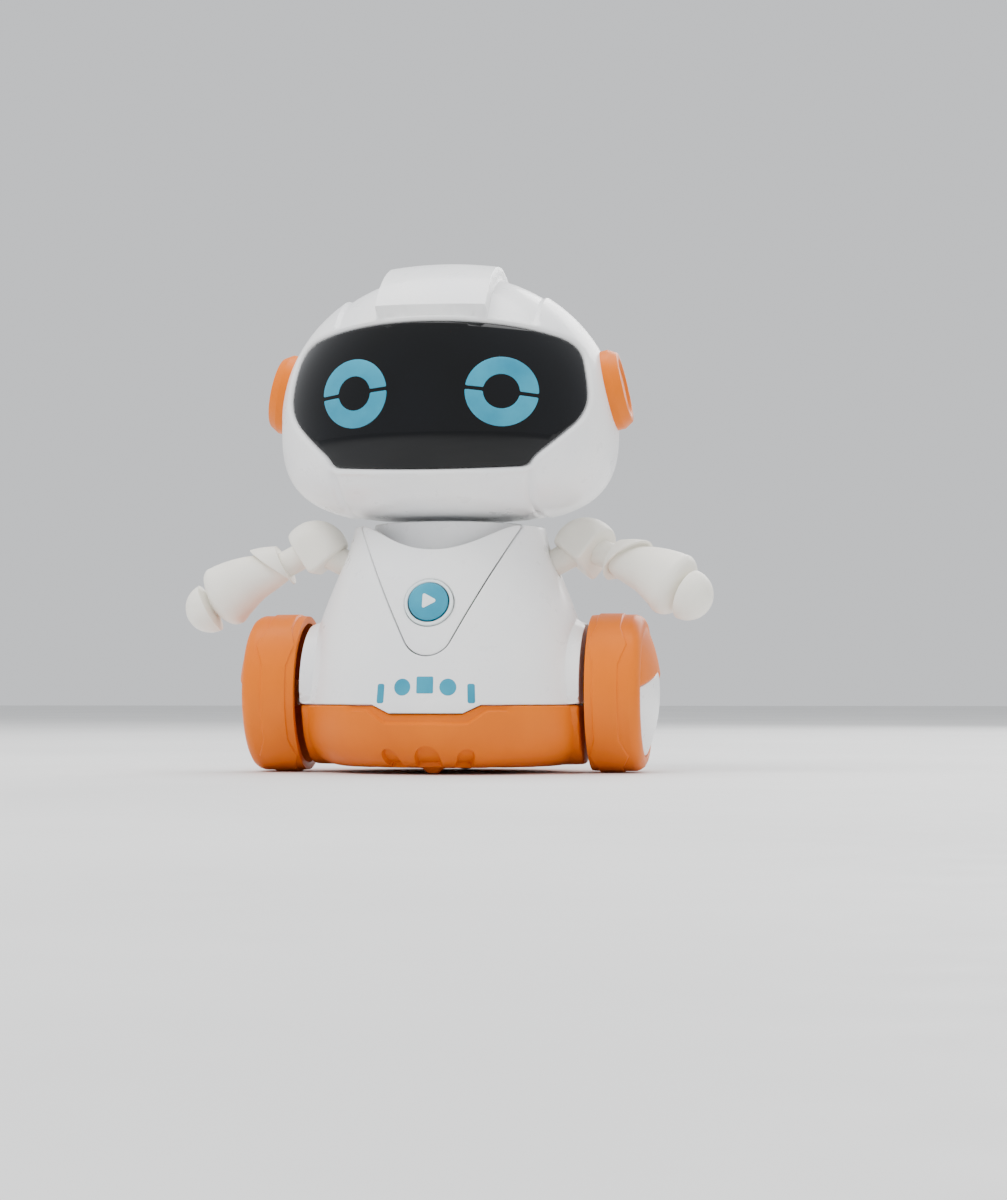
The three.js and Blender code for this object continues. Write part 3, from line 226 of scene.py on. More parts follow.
def triangulate(loops, spacing, rounds, lines=()):
    """Triangles over the area inside the first loop and outside the others."""
    loops = [loop if (signed_area(loop) > 0) == (i == 0) else loop[::-1] for i, loop in enumerate(loops)]
    low, high = loops[0].min(0), loops[0].max(0)
    across = np.arange(low[0], high[0] + spacing, spacing)
    rows = np.arange(low[1], high[1] + spacing, spacing * ROW_STEP)
    field = np.array([[x + (i % 2) * spacing / 2, y] for i, y in enumerate(rows) for x in across])
    field = field[inside(field, loops)]
    for loop, radius in zip(loops, rounds):
        field = field[line_distance(field, loop) > max(0.6 * spacing, radius + 0.35 * spacing)]
    for line in lines:
        field = field[line_distance(field, line, False) > 0.5 * spacing]
    rings = []
    for loop, radius in zip(loops, rounds):
        along = np.roll(loop, -1, axis=0) - np.roll(loop, 1, axis=0)
        left = unit(columns(-along[:, 1], along[:, 0]) + 1e-12)
        for part in (ROUND_STEPS if radius > 0 else ()):
            ring = loop + left * part * radius
            ring = ring[inside(ring, loops)]
            for other in loops:
                ring = ring[line_distance(ring, other) > 0.85 * part * radius]
            rings.append(ring)
    edges, points, start = [], [], 0
    for loop in loops:
        edges += [(start + i, start + (i + 1) % len(loop)) for i in range(len(loop))]
        points.append(loop)
        start += len(loop)
    for line in lines:
        edges += [(start + i, start + i + 1) for i in range(len(line) - 1)]
        points.append(line)
        start += len(line)
    everything = np.vstack(points + [r for r in rings if len(r)] + [field])
    found = delaunay_2d_cdt([Vector(p) for p in everything], edges, [], 0, 1e-5)
    flat = np.array([tuple(v) for v in found[0]])
    faces = np.array([f for f in found[2] if len(f) == 3])
    faces = faces[inside(flat[faces].mean(axis=1), loops)]
    used, faces = np.unique(faces, return_inverse=True)
    flat, faces = flat[used], faces.reshape(-1, 3)
    a, b, c = flat[faces[:, 0]], flat[faces[:, 1]], flat[faces[:, 2]]
    area = (b - a)[:, 0] * (c - a)[:, 1] - (b - a)[:, 1] * (c - a)[:, 0]
    faces, area = faces[np.abs(area) > TINY], area[np.abs(area) > TINY]
    faces[area < 0] = faces[area < 0][:, ::-1]
    return flat, faces, loops


def normals_of(points, faces):
    """Outward directions at the points, averaged over the faces round each."""
    a, b, c = points[faces[:, 0]], points[faces[:, 1]], points[faces[:, 2]]
    face_normals = np.cross(b - a, c - a)
    total = np.zeros_like(points)
    for i in range(3):
        np.add.at(total, faces[:, i], face_normals)
    return total / np.maximum(np.linalg.norm(total, axis=1, keepdims=True), 1e-12)


def plate(loops, place, thick, spacing=0.8, rounds=0.3, lines=(), relief=None, out=None):
    """A closed plate with rounded outer edges: `place` gives its outer surface, and `out` a
    rough outward direction at each of those points."""
    rounds = [rounds] * len(loops) if np.isscalar(rounds) else rounds
    flat, faces, loops = triangulate(loops, spacing, rounds, lines)
    base = place(flat)
    normal = normals_of(base, faces)
    if np.sum(normal * out(base)) < 0:
        normal = -normal
        faces = faces[:, ::-1]
    sunk = np.zeros(len(flat))
    for loop, radius in zip(loops, rounds):
        if radius > 0:
            edge = np.clip(1 - line_distance(flat, loop) / radius, 0, 1)
            sunk = np.maximum(sunk, radius * (1 - np.sqrt(1 - edge ** 2)))
    outer = base - normal * sunk[:, None]
    if relief is not None:
        raised = relief(flat, base)
        outer = outer + (raised if raised.ndim == 2 else normal * raised[:, None])
    inner = base - normal * thick if np.isscalar(thick) else thick(base)
    count = len(flat)
    directed = {(int(f[i]), int(f[(i + 1) % 3])) for f in faces for i in range(3)}
    walls = [[b, a, a + count, b + count] for a, b in directed if (b, a) not in directed]
    walls.sort()
    return np.vstack([outer, inner]), faces.tolist() + (faces[:, ::-1] + count).tolist() + walls


def rounded(corners, steps=5):
    """A closed outline of [across, along, radius] corners, each turned into an arc."""
    out = []
    count = len(corners)
    for i, (x, y, radius) in enumerate(corners):
        here = np.array([x, y], float)
        if radius <= 0:
            out.append(here)
            continue
        before = unit(np.array(corners[i - 1][:2]) - here)
        after = unit(np.array(corners[(i + 1) % count][:2]) - here)
        half = math.acos(float(np.clip(before @ after, -1, 1))) / 2
        reach = radius / math.tan(half)
        centre = here + unit(before + after) * radius / math.sin(half)
        start = here + before * reach - centre
        end = here + after * reach - centre
        turn = math.atan2(start[0] * end[1] - start[1] * end[0], start @ end)
        for k in range(steps + 1):
            a = turn * k / steps
            out.append(centre + [start[0] * math.cos(a) - start[1] * math.sin(a),
                                 start[0] * math.sin(a) + start[1] * math.cos(a)])
    return np.array(out)


def rectangle(half_x, half_y, corner, steps=5):
    return rounded([(-half_x, -half_y, corner), (half_x, -half_y, corner),
                    (half_x, half_y, corner), (-half_x, half_y, corner)], steps)


def lathe(profile, segments, axis=(0, 0, 1), foot=(0, 0, 0)):
    """A profile of [radius, height] turned about an axis; it closes on the axis or on itself."""
    profile = np.asarray(profile, float)
    axis = unit(axis)
    side = unit(np.cross(axis, [0, 1, 0])) if abs(axis[1]) < 0.9 else np.array([1.0, 0, 0])
    across = np.cross(axis, side)
    points, rows, faces = [], [], []
    for radius, height in profile:
        if radius < 1e-6:
            rows.append([len(points)] * segments)
            points.append(np.array(foot) + axis * height)
            continue
        rows.append(list(range(len(points), len(points) + segments)))
        for j in range(segments):
            a = 2 * math.pi * j / segments
            points.append(np.array(foot) + axis * height
                          + radius * (side * math.cos(a) + across * math.sin(a)))
    closed = profile[0][0] > 1e-6
    for i in range(len(rows) if closed else len(rows) - 1):
        low, high = rows[i], rows[(i + 1) % len(rows)]
        for j in range(segments):
            k = (j + 1) % segments
            face = [low[j], low[k], high[k], high[j]]
            kept = [v for n, v in enumerate(face) if v != face[n - 1]]
            if len(kept) >= 3:
                faces.append(kept)
    return outward(np.array(points), faces)


def outward(points, faces):
    """The closed mesh with its faces turned outwards."""
    volume = 0.0
    for f in faces:
        for i in range(1, len(f) - 1):
            a, b, c = points[f[0]], points[f[i]], points[f[i + 1]]
            volume += a @ np.cross(b, c)
    return (points, faces) if volume > 0 else (points, [f[::-1] for f in faces])


def grid_faces(rows, count, links):
    """Four-sided faces between `rows` loops of `count` points; as many links as rows close it."""
    faces = []
    for i in range(links):
        here, up = i * count, ((i + 1) % rows) * count
        for j in range(count):
            k = (j + 1) % count
            faces.append([here + j, here + k, up + k, up + j])
    return faces


def skin(rows):
    """A closed surface over rows of points, each row a loop, with flat or pointed ends."""
    count = len(rows[0])
    points = np.vstack(rows)
    faces = grid_faces(len(rows), count, len(rows) - 1)
    first, last = len(points), len(points) + 1
    points = np.vstack([points, rows[0].mean(axis=0), rows[-1].mean(axis=0)])
    for j in range(count):
        k = (j + 1) % count
        faces.append([first, k, j])
        faces.append([last, (len(rows) - 1) * count + j, (len(rows) - 1) * count + k])
    return outward(points, faces)


def mirrored(points, faces):
    """The mesh mirrored to the other side of the robot."""
    return np.asarray(points) * [-1, 1, 1], [list(f)[::-1] for f in faces]


# ------------------------------------------------------------------ materials
def linear(code):
    """The scene-linear colour of a six-digit sRGB code."""
    parts = [int(code[i:i + 2], 16) / 255 for i in (0, 2, 4)]
    return [p / 12.92 if p <= 0.04045 else ((p + 0.055) / 1.055) ** 2.4 for p in parts] + [1.0]


class Nodes:
    """A new material and the shader nodes that feed it."""

    def __init__(self, name):
        self.material = bpy.data.materials.new(name)
        self.material.use_nodes = True
        self.tree = self.material.node_tree
        self.shader = self.tree.nodes["Principled BSDF"]
        self.where = self.tree.nodes.new("ShaderNodeTexCoord").outputs["Object"]

    def link(self, source, target):
        self.tree.links.new(source, target)

    def add(self, kind, source, into, **values):
        """A node with its values set and `source` linked into it."""
        node = self.tree.nodes.new("ShaderNode" + kind)
        for key, value in values.items():
            node.inputs[key.replace("_", " ")].default_value = value
        self.link(source, node.inputs[into])
        return node

    def stretched(self, scale):
        return self.add("Mapping", self.where, "Vector", Scale=scale).outputs["Vector"]

    def noise(self, scale, detail=3.0, rough=0.5, vector=None):
        return self.add("TexNoise", vector or self.where, "Vector", Scale=scale, Detail=detail,
                        Roughness=rough).outputs["Fac"]

    def ramp(self, source, stops, constant=False):
        node = self.add("ValToRGB", source, "Fac")
        ramp = node.color_ramp
        if constant:
            ramp.interpolation = "CONSTANT"
        while len(ramp.elements) < len(stops):
            ramp.elements.new(0.5)
        for element, (at, colour) in zip(ramp.elements, stops):
            element.position = at
            element.color = linear(colour)
        return node.outputs["Color"]

    def spread(self, source, low, high, source_low=0.3, source_high=0.7):
        return self.add("MapRange", source, "Value", From_Min=source_low, From_Max=source_high,
                        To_Min=low, To_Max=high).outputs["Result"]

    def bump(self, source, distance, strength=1.0, under=None):
        node = self.add("Bump", source, "Height", Strength=strength, Distance=distance)
        if under:
            self.link(under, node.inputs["Normal"])
        return node.outputs["Normal"]

    def finished(self, colour=None, gloss=None, normal=None, **values):
        """The material, with its colour, roughness and normal linked and its constants set."""
        for source, key in ((colour, "Base Color"), (gloss, "Roughness"), (normal, "Normal")):
            if source:
                self.link(source, self.shader.inputs[key])
        for key, value in values.items():
            self.shader.inputs[key.replace("_", " ")].default_value = value
        return self.material


def plastic(name, colour, shade, gloss=(0.3, 0.4), grain=0.000012, grain_scale=2600, **more):
    """Moulded plastic: faint flow marks in its colour, uneven gloss and a fine grain."""
    n = Nodes(name)
    flow = n.noise(45, 4, 0.55, n.stretched((1.0, 1.0, 0.45)))
    swell = n.bump(n.noise(120, 2, 0.4), 0.00003, 0.5)
    return n.finished(n.ramp(flow, [(0.32, shade), (0.62, colour)]), n.spread(n.noise(180, 3, 0.6), *gloss),
                      n.bump(n.noise(grain_scale, 2, 0.5), grain, 1.0, swell), **more)


def metal(name, colour, shade, gloss=(0.22, 0.4), brush=(40, 900, 900)):
    """Drawn metal: fine lines along one way and a slight stain in the colour."""
    n = Nodes(name)
    lines = n.noise(1.0, 3, 0.6, n.stretched(brush))
    return n.finished(n.ramp(n.noise(160, 3), [(0.3, shade), (0.65, colour)]), n.spread(lines, *gloss),
                      n.bump(lines, 0.00001, 0.6), Metallic=1.0)


def visor_plastic():
    """Glossy black with a very slight waviness."""
    n = Nodes("visor_black")
    return n.finished(n.ramp(n.noise(25, 3), [(0.35, "040506"), (0.7, "0a0c10")]),
                      n.spread(n.noise(60, 4, 0.6), 0.03, 0.09),
                      n.bump(n.noise(70, 2, 0.4), 0.00002, 0.35), Specular_IOR_Level=0.3)


def board_material():
    """Green board with paler tracks between small fields."""
    n = Nodes("circuit_board")
    brick = n.add("TexBrick", n.where, "Vector", Scale=260, Mortar_Size=0.035, Color1=linear("1f6b3a"),
                  Color2=linear("1b5f34"), Mortar=linear("3f8f55"))
    return n.finished(brick.outputs["Color"], n.spread(n.noise(300), 0.35, 0.55),
                      n.bump(brick.outputs["Fac"], 0.00003, 0.6))


def cell_material():
    """A battery's wrap: a metal end, one plain band and a dark sleeve."""
    n = Nodes("cell_can")
    half = 0.023
    place = n.add("SeparateXYZ", n.where, "Vector").outputs["X"]
    bands = [(0.0, "b9bcc0"), (0.05, "b5813a"), (0.24, "3c4148"), (0.95, "b9bcc0")]
    return n.finished(n.ramp(n.spread(place, 0.0, 1.0, -half, half), bands, constant=True),
                      n.spread(n.noise(200), 0.25, 0.4), n.bump(n.noise(900), 0.00001, 0.5))


def teal_material():
    """Teal plastic with a soft mottle."""
    n = Nodes("teal_button")
    return n.finished(n.ramp(n.noise(90, 3, 0.5), [(0.3, "1c7f9c"), (0.7, "2f97b2")]),
                      n.spread(n.noise(240), 0.28, 0.4), n.bump(n.noise(2200), 0.00001, 0.6))


def floor_material():
    n = Nodes("studio_floor")
    return n.finished(n.ramp(n.noise(6, 3), [(0.35, "dcdcdb"), (0.7, "e4e4e3")]),
                      n.spread(n.noise(90), 0.55, 0.7))


MATERIALS = {
    "white_shell": plastic("white_shell", "f4f4f3", "ecedef", (0.26, 0.36), Coat_Weight=0.15),
    "ivory_arm": plastic("ivory_arm", "f1eee4", "e8e4d8", (0.42, 0.55), 0.00002, 1500),
    "orange_plastic": plastic("orange_plastic", "e07000", "d66800", (0.36, 0.48), Specular_IOR_Level=0.2),
    "visor_black": visor_plastic(),
    "teal_button": teal_material(),
    "clear_ring": plastic("clear_ring", "eef4f4", "dfe9ea", (0.18, 0.3), Coat_Weight=0.3),
    "dark_plastic": plastic("dark_plastic", "2b2d31", "222427", (0.5, 0.65), 0.00003, 1800),
    "natural_plastic": plastic("natural_plastic", "e8e4d6", "dcd7c6", (0.4, 0.55)),
    "circuit_board": board_material(),
    "steel": metal("steel", "c6c9cd", "a9adb3"),
    "brass": metal("brass", "cfa850", "b8923f", brush=(900, 900, 60)),
    "cell_can": cell_material(),
}
SLOT_OF = {row["node"]: row["material_slot"] for row in frame["record"]["subparts"]}
for node_name, node_object in frame["nodes"].items():
    if node_name in SLOT_OF:
        node_object.data.materials.clear()
        node_object.data.materials.append(MATERIALS[SLOT_OF[node_name]])

# ------------------------------------------------------------------ head
HEAD_SCALE = 40.0     # chart length per radian from straight ahead
SPINDLE_HOLE = 8.5


def head_surface(n, inset=0.0):
    """The point of the head in each direction from its middle: rounder above, squarer below."""
    upper = n[:, 2] >= 0
    power = np.where(upper, 2.0, HEAD_SQUARE)
    height = np.where(upper, HEAD_RISE, HEAD_DROP) - inset
    level = np.hypot(n[:, 0] / (HEAD_WIDE - inset), n[:, 1] / (HEAD_DEEP - inset))
    upright = np.abs(n[:, 2]) / height
    return HEAD_MIDDLE + n / ((level ** power + upright ** power) ** (1 / power))[:, None]


def head_front(x, z):
    """The head's front surface at a place in the front view."""
    x, z = np.broadcast_arrays(np.asarray(x, float), np.asarray(z, float))
    rise = z - HEAD_MIDDLE[2]
    power = np.where(rise >= 0, 2.0, HEAD_SQUARE)
    height = np.where(rise >= 0, HEAD_RISE, HEAD_DROP)
    level = (1 - np.abs(rise / height) ** power) ** (1 / power)
    y = -HEAD_DEEP * np.sqrt(np.maximum(level ** 2 - (x / HEAD_WIDE) ** 2, 0))
    return columns(x, y, z)


def head_flat(points, way):
    """Where points of the head lie on its flat chart; way is -1 for the front, 1 for the rear."""
    n = unit(points - HEAD_MIDDLE)
    away = np.arccos(np.clip(n[:, 1] * way, -1, 1)) * HEAD_SCALE
    turn = np.arctan2(n[:, 2], n[:, 0])
    return columns(away * np.cos(turn), away * np.sin(turn))


def head_directions(flat, way):
    """Directions from the middle of the head for places on its chart."""
    away = np.hypot(flat[:, 0], flat[:, 1])
    safe = np.maximum(away, 1e-9)
    a = away / HEAD_SCALE
    return columns(flat[:, 0] / safe * np.sin(a), way * np.cos(a), flat[:, 1] / safe * np.sin(a))


def head_place(way, inset=0.0):
    """Puts places on the flat chart onto the head, `inset` below its surface."""
    return lambda flat: head_surface(head_directions(flat, way), inset)


def head_inner(inset):
    """Takes points of the head to the same directions, `inset` below its surface."""
    return lambda base: head_surface(unit(base - HEAD_MIDDLE), inset)


def visor_edge():
    """The visor's outline on the chart, drawn as one half in the front view and mirrored."""
    half = np.vstack([
        bezier([(0, 108), (12, 108), (22, 107), (30, 104.9)], 24),
        *(bezier(corners, 14) for corners in (
            [(30, 104.9), (34.6, 103.6), (35.6, 99.5)], [(35.6, 99.5), (36.9, 94), (36.9, 90)],
            [(36.9, 90), (36.7, 86.2), (33.6, 82.9)], [(26.6, 76.3), (24.9, 74.7), (24.4, 73.6)],
            [(24.4, 73.6), (23.9, 72.7), (22, 72.5)], [(22, 72.5), (11, 71.6), (0, 71.6)]))])
    whole = np.vstack([half, (half * [-1, 1])[::-1][1:-1]])
    return head_flat(head_front(*whole.T), -1)


def grown(loop, by):
    """The loop moved outwards, or inwards where `by` is negative."""
    along = np.roll(loop, -1, axis=0) - np.roll(loop, 1, axis=0)
    right = unit(columns(along[:, 1], -along[:, 0]) + 1e-12)
    return loop + right * by * (1 if signed_area(loop) > 0 else -1)


VISOR_EDGE = resample(visor_edge(), 0.7)


def ridge_front(x):
    """Height of the ridge's arched front edge."""
    return 109.2 - (x / 12.4) ** 2


def crease_x(z):
    """How far out the crease beside the chin lies; it leans outwards going up."""
    return CREASE_X + 0.6 * ease(66, 73, z)


def head_relief(way):
    """What is raised or sunk on a head shell: ridge, side panels, chin and creases."""
    def relief(flat, base):
        n = unit(base - HEAD_MIDDLE)
        x, z = np.abs(base[:, 0]), base[:, 2]
        reach = np.linalg.norm(base - HEAD_MIDDLE, axis=1)
        crown = RIDGE_TOP - (x / RIDGE_HALF) ** 2
        a = (n[:, 1] / RIDGE_DEEP) ** 2 + (n[:, 2] / crown) ** 2
        b = 2 * n[:, 1] * RIDGE_SHIFT / RIDGE_DEEP ** 2
        c = (RIDGE_SHIFT / RIDGE_DEEP) ** 2 - 1
        band = np.minimum((-b + np.sqrt(b * b - 4 * a * c)) / np.maximum(2 * a, 1e-6), 60)
        start = ridge_front(np.minimum(x, RIDGE_EDGE)) if way < 0 else RIDGE_BACK
        long = ease(0, RIDGE_SLOPE if way < 0 else RIDGE_FADE, z - start)
        across = 1 - ease(*RIDGE_FLANK, x)
        raised = np.maximum(band - reach, 0) * across * long
        # the panels beside the ridge lie a little below the domes outside them
        clear = ease(1.0, 2.2, line_distance(flat, VISOR_EDGE)) if way < 0 else ease(0, 3, z - RIDGE_BACK)
        panel = (1 - ease(*PANEL_STEP, x)) * ease(*PANEL_FOOT, z) * clear * (1 - across * long)
        raised = raised - PANEL_DEPTH * panel
        # the chin lies behind the cheeks, with a crease between them
        low = (1 - ease(*CHIN_TOP, z)) * (clear if way < 0 else 1)
        side = x - crease_x(z)
        chin = CHIN_SINK * (1 - ease(-1.8, 0.1, side)) + CREASE_DEPTH * np.exp(-(side / CREASE_WIDTH) ** 2)
        return n * (raised - low * chin)[:, None]
    return relief


def head_lines(way):
    """Lines that the triangles of a head shell follow, so that its steps stay crisp."""
    lines = []
    for x in (*RIDGE_FLANK, *PANEL_STEP):
        for side in (1, -1):
            reach = math.sqrt(1 - (x / HEAD_WIDE) ** 2)
            low = RIDGE_BACK
            if way < 0:
                low = ridge_front(min(x, RIDGE_EDGE)) if x in RIDGE_FLANK else STEP_FOOT
            start = math.asin((low - HEAD_MIDDLE[2]) / (HEAD_RISE * reach))
            angles = np.linspace(start, math.pi / 2 - 0.02, 70)
            points = columns(side * x, way * HEAD_DEEP * reach * np.cos(angles),
                             HEAD_MIDDLE[2] + HEAD_RISE * reach * np.sin(angles))
            lines.append(head_flat(points, way))
    for rise in (0.02, RIDGE_SLOPE):
        xs = np.linspace(-RIDGE_FLANK[0] + 0.3, RIDGE_FLANK[0] - 0.3, 50)
        zs = (ridge_front(xs) if way < 0 else RIDGE_BACK) + rise
        lines.append(head_flat(head_front(xs, zs) * [1, -way, 1], way))
    for beside in (-0.8, 0.0, 0.8):
        for side in (1, -1):
            zs = np.linspace(63.2, 70.6, 24)
            xs = side * (crease_x(zs) + beside)
            lines.append(head_flat(head_front(xs, zs) * [1, -way, 1], way))
    return lines


def head_outline(way):
    """A head shell's edge at the split, with half the hole for the neck's spindle."""
    limit = (math.pi / 2 - GAP / 2 / HEAD_WIDE) * HEAD_SCALE
    span = math.atan2(SPINDLE_HOLE, HEAD_DROP)
    rim = arc((0, 0), limit, -math.pi / 2 + span, 1.5 * math.pi - span, 560)
    turn = np.linspace(math.pi, 0, 26)[1:-1]
    hole = columns(SPINDLE_HOLE * np.cos(turn), way * (SPINDLE_HOLE * np.sin(turn) + 0.2),
                   HEAD_MIDDLE[2] - HEAD_DROP)
    return np.vstack([rim, head_flat(hole, way)])


def from_head(points):
    return points - HEAD_MIDDLE


for way, label in ((-1, "front"), (1, "rear")):
    loops, rounds = [head_outline(way)], [0.25]
    if way < 0:
        loops.append(grown(VISOR_EDGE, GAP))
        rounds.append(0.95)
    shell = plate(loops, head_place(way), head_inner(WALL), spacing=0.85, rounds=rounds,
                  lines=head_lines(way), relief=head_relief(way), out=from_head)
    add_piece(f"{label}_head_shell", *shell, "head", "white_shell", [f"head_{label}_shell"])

lens = plate([VISOR_EDGE], head_place(-1, VISOR_RECESS), head_inner(VISOR_RECESS + VISOR_THICK),
             spacing=1.1, rounds=0.4, out=from_head)
add_piece("visor_lens", *lens, "head", "visor_black", ["face_visor"])


def eye_half(side, upper):
    """Half of an eye's ring, in the front view, above or below its slanting gap."""
    low = math.asin(EYE_GAP / 2 / EYE_OUTER)
    lean = -side * EYE_TILT + (0 if upper else math.pi)
    outer = arc((0, 0), EYE_OUTER, low, math.pi - low, 60)
    low = math.asin(EYE_GAP / 2 / EYE_INNER)
    inner = arc((0, 0), EYE_INNER, math.pi - low, low, 34)
    loop = keep_corners(np.vstack([outer, inner]), 0.5)
    c, s = math.cos(lean), math.sin(lean)
    x, z = loop.T
    return head_flat(head_front(x * c - z * s + side * EYE_X, x * s + z * c + EYE_Z), -1)


for side, label in ((1, "left"), (-1, "right")):
    halves = [plate([eye_half(side, upper)], head_place(-1, VISOR_RECESS - PRINT_LIFT), PRINT_THICK,
                    spacing=0.7, rounds=0.1, out=from_head) for upper in (True, False)]
    add_piece(f"eye_ring_{label}", *together(*halves), "head", "teal_button")

for side, label in ((1, "left"), (-1, "right")):
    cap = lathe(rounded([(0, -1.4, 0), (9.9, -1.9, 0), (9.9, 0.9, 0.5), (8.6, 3.1, 0.6),
                         (7.2, 3.1, 0.35), (6.4, 2.4, 0.35), (0, 2.55, 0)]), 112,
                (math.cos(EAR_TILT), 0, math.sin(EAR_TILT)), EAR_FOOT)
    add_piece(f"ear_disc_{label}", *(cap if side > 0 else mirrored(*cap)), "head", "orange_plastic",
              [f"ear_cap_{label}"])

collar = lathe(rounded([
    (5.2, 49, 0.2), (20.3, 49, 0.3), (20.3, 50.5, 0.3), (18.7, 50.5, 0.4), (18.7, 60.6, 0.6),
    (8, 60.6, 0.3), (8, 64, 0), (6.8, 64, 0), (6.8, 65.3, 0), (8, 65.3, 0), (8, 66, 0.3),
    (5.2, 66, 0.2)]), 128)
add_piece("neck_ring", *collar, "torso", "white_shell", ["neck_collar"])

# ------------------------------------------------------------------ torso
TORSO_CHART = 34.0    # chart length per radian round the torso
SPLIT_RADIUS = 30.0   # taken as the torso's radius along the split
BIB_TOP = 59.3
PEG_Z, PEG_HOLE, AXLE_HOLE = 51.4, 3.6, 1.7
SEAM_RADIUS = BELL[0, 0]
GRILLE = {"z": 40, "pitch": 2.6, "half": 6.5, "taper": 1.2, "half_z": 0.6}
SWITCH = {"z": 26, "half": 4.2, "half_z": 1.7}


def bell_radius(z):
    """Radius of the torso at a height."""
    return np.minimum(through(BELL[:, 1], BELL[:, 0], np.asarray(z, float)), SEAM_RADIUS - 0.02)


def torso_surface(way):
    """A bell with flat sides, and a round boss on each where the wheel sits."""
    def place(flat):
        turn, z = flat[:, 0] / TORSO_CHART, flat[:, 1]
        sine = np.maximum(np.abs(np.sin(turn)), 1e-3)
        radius = soft_min(bell_radius(z), FLAT / sine, 0.7)
        across = radius * np.cos(turn)
        from_axle = np.hypot(across, z - AXLE_Z)
        boss = np.maximum(FLAT / sine - radius, 0) * (1 - ease(*BOSS_EDGE, from_axle))
        radius = radius + boss * (FLAT / sine < 60)
        return columns(radius * np.sin(turn), way * radius * np.cos(turn), z)
    return place


def from_middle(points):
    return points * [1, 1, 0]


def on_bell(x, z):
    """The chart place of a point of the bell's front or rear view."""
    return columns(TORSO_CHART * np.arcsin(np.clip(x / bell_radius(z), -1, 1)), np.asarray(z, float))


def neckline(u):
    """Height of the torso's upper edge, scooped in front."""
    turn = np.abs(u / TORSO_CHART)
    return NECKLINE - np.where(turn < math.pi / 3, SCOOP * np.cos(1.5 * turn) ** 2, 0)


def seam_height(x):
    """Height of the seam in front, with its notch."""
    return SEAM - NOTCH_DEPTH * np.clip((NOTCH_TOP - np.abs(x)) / (NOTCH_TOP - NOTCH_LOW), 0, 1)


def split_edge(z_low, z_high):
    """The left edge of a torso shell, going up, with half holes for the axle and the arm's peg."""
    edge = TORSO_CHART * (math.pi / 2 - GAP / 2 / SPLIT_RADIUS)
    line = [[edge, z_low]]
    for z, radius, steep in ((AXLE_Z, AXLE_HOLE, 1.0), (PEG_Z, PEG_HOLE, 1.13)):
        if z_low < z - radius * steep:
            for a in np.linspace(-math.pi / 2, math.pi / 2, 14):
                reach = radius * math.cos(a) * TORSO_CHART / SPLIT_RADIUS
                line.append([edge - reach, z + radius * steep * math.sin(a)])
    line.append([edge, z_high])
    return keep_corners(line, 0.7, closed=False)


def boss_lines():
    """Lines along the edges of the bosses round the axle."""
    lines = []
    for radius in BOSS_EDGE:
        for side in (1, -1):
            turn = np.linspace(0.02, math.pi / 2 - 0.25, 60)
            z = AXLE_Z + radius * np.sin(turn)
            ratio = radius * np.cos(turn) / np.minimum(bell_radius(z), 40)
            u = side * TORSO_CHART * np.arccos(np.clip(ratio, 0, 1))
            lines.append(columns(u, z)[np.abs(u) < TORSO_CHART * 1.53])
    return lines


FOLD_RISE, FOLD_WIDTH, FOLD_LOW, FOLD_TOP = 0.25, 1.4, (28.6, 30), (31, 34)
BIB_LEAN = math.atan(BIB_SLOPE)
BIB_CENTRE = BIB_APEX + BIB_TIP / math.sin(BIB_LEAN) + 2 * GAP


def bib_side(grow, top):
    """The bib's edge from its top right, round its tip and up to its top left."""
    radius = BIB_TIP + grow
    tip = arc((0, BIB_CENTRE), radius, -BIB_LEAN, -math.pi + BIB_LEAN, 30)
    x, z = tip[0]
    start = [x + (top - z) * BIB_SLOPE, top]
    outline = np.vstack([[start], tip, [[-start[0], top]]])
    return keep_corners(outline, 0.6, closed=False)


def torso_front_loop():
    """The front shell: seam, side, neckline and the cut for the bib, once round."""
    edge = split_edge(SEAM + GAP / 2, NECKLINE)
    cut = on_bell(*bib_side(GAP / 2, BIB_TOP).T)
    top_u = np.arange(edge[-1, 0], cut[0, 0], -0.6)[1:]
    top = columns(top_u, neckline(top_u))
    top = top[top[:, 1] > BIB_TOP + 0.1]
    left = (top * [-1, 1])[::-1]
    bends = [-FLAT - 0.4, -NOTCH_TOP, -NOTCH_LOW, NOTCH_LOW, NOTCH_TOP, FLAT + 0.4]
    low_x = keep_corners([[x, 0] for x in bends], 0.6, closed=False)[:, 0]
    bottom = columns(TORSO_CHART * np.arcsin(low_x / SEAM_RADIUS), seam_height(low_x) + GAP / 2)
    bottom = bottom[np.abs(bottom[:, 0]) < edge[0, 0] - 0.3]
    return np.vstack([bottom, edge, top, cut, left, (edge * [-1, 1])[::-1]])


def slot_loop(half_x, z, half_z, corner):
    """A slot's outline on the chart."""
    outline = keep_corners(rectangle(half_x, half_z, corner), 0.5) + [0, z]
    return on_bell(*outline.T)


def torso_rear_loops():
    """The rear shell, with its speaker grille and the hole for the switch."""
    edge = split_edge(SEAM + GAP / 2, NECKLINE)
    top_u = np.arange(edge[-1, 0], -edge[-1, 0], -0.6)[1:-1]
    top = columns(top_u, NECKLINE)
    bottom_u = np.arange(-edge[0, 0], edge[0, 0], 0.6)[1:-1]
    bottom = columns(bottom_u, SEAM + GAP / 2)
    grille = [slot_loop(GRILLE["half"] - abs(i) * GRILLE["taper"], GRILLE["z"] + i * GRILLE["pitch"],
                        GRILLE["half_z"], 0.5) for i in range(-2, 3)]
    return [np.vstack([bottom, edge, top, (edge * [-1, 1])[::-1]]), *grille,
            slot_loop(SWITCH["half"], SWITCH["z"], SWITCH["half_z"], 0.4)]


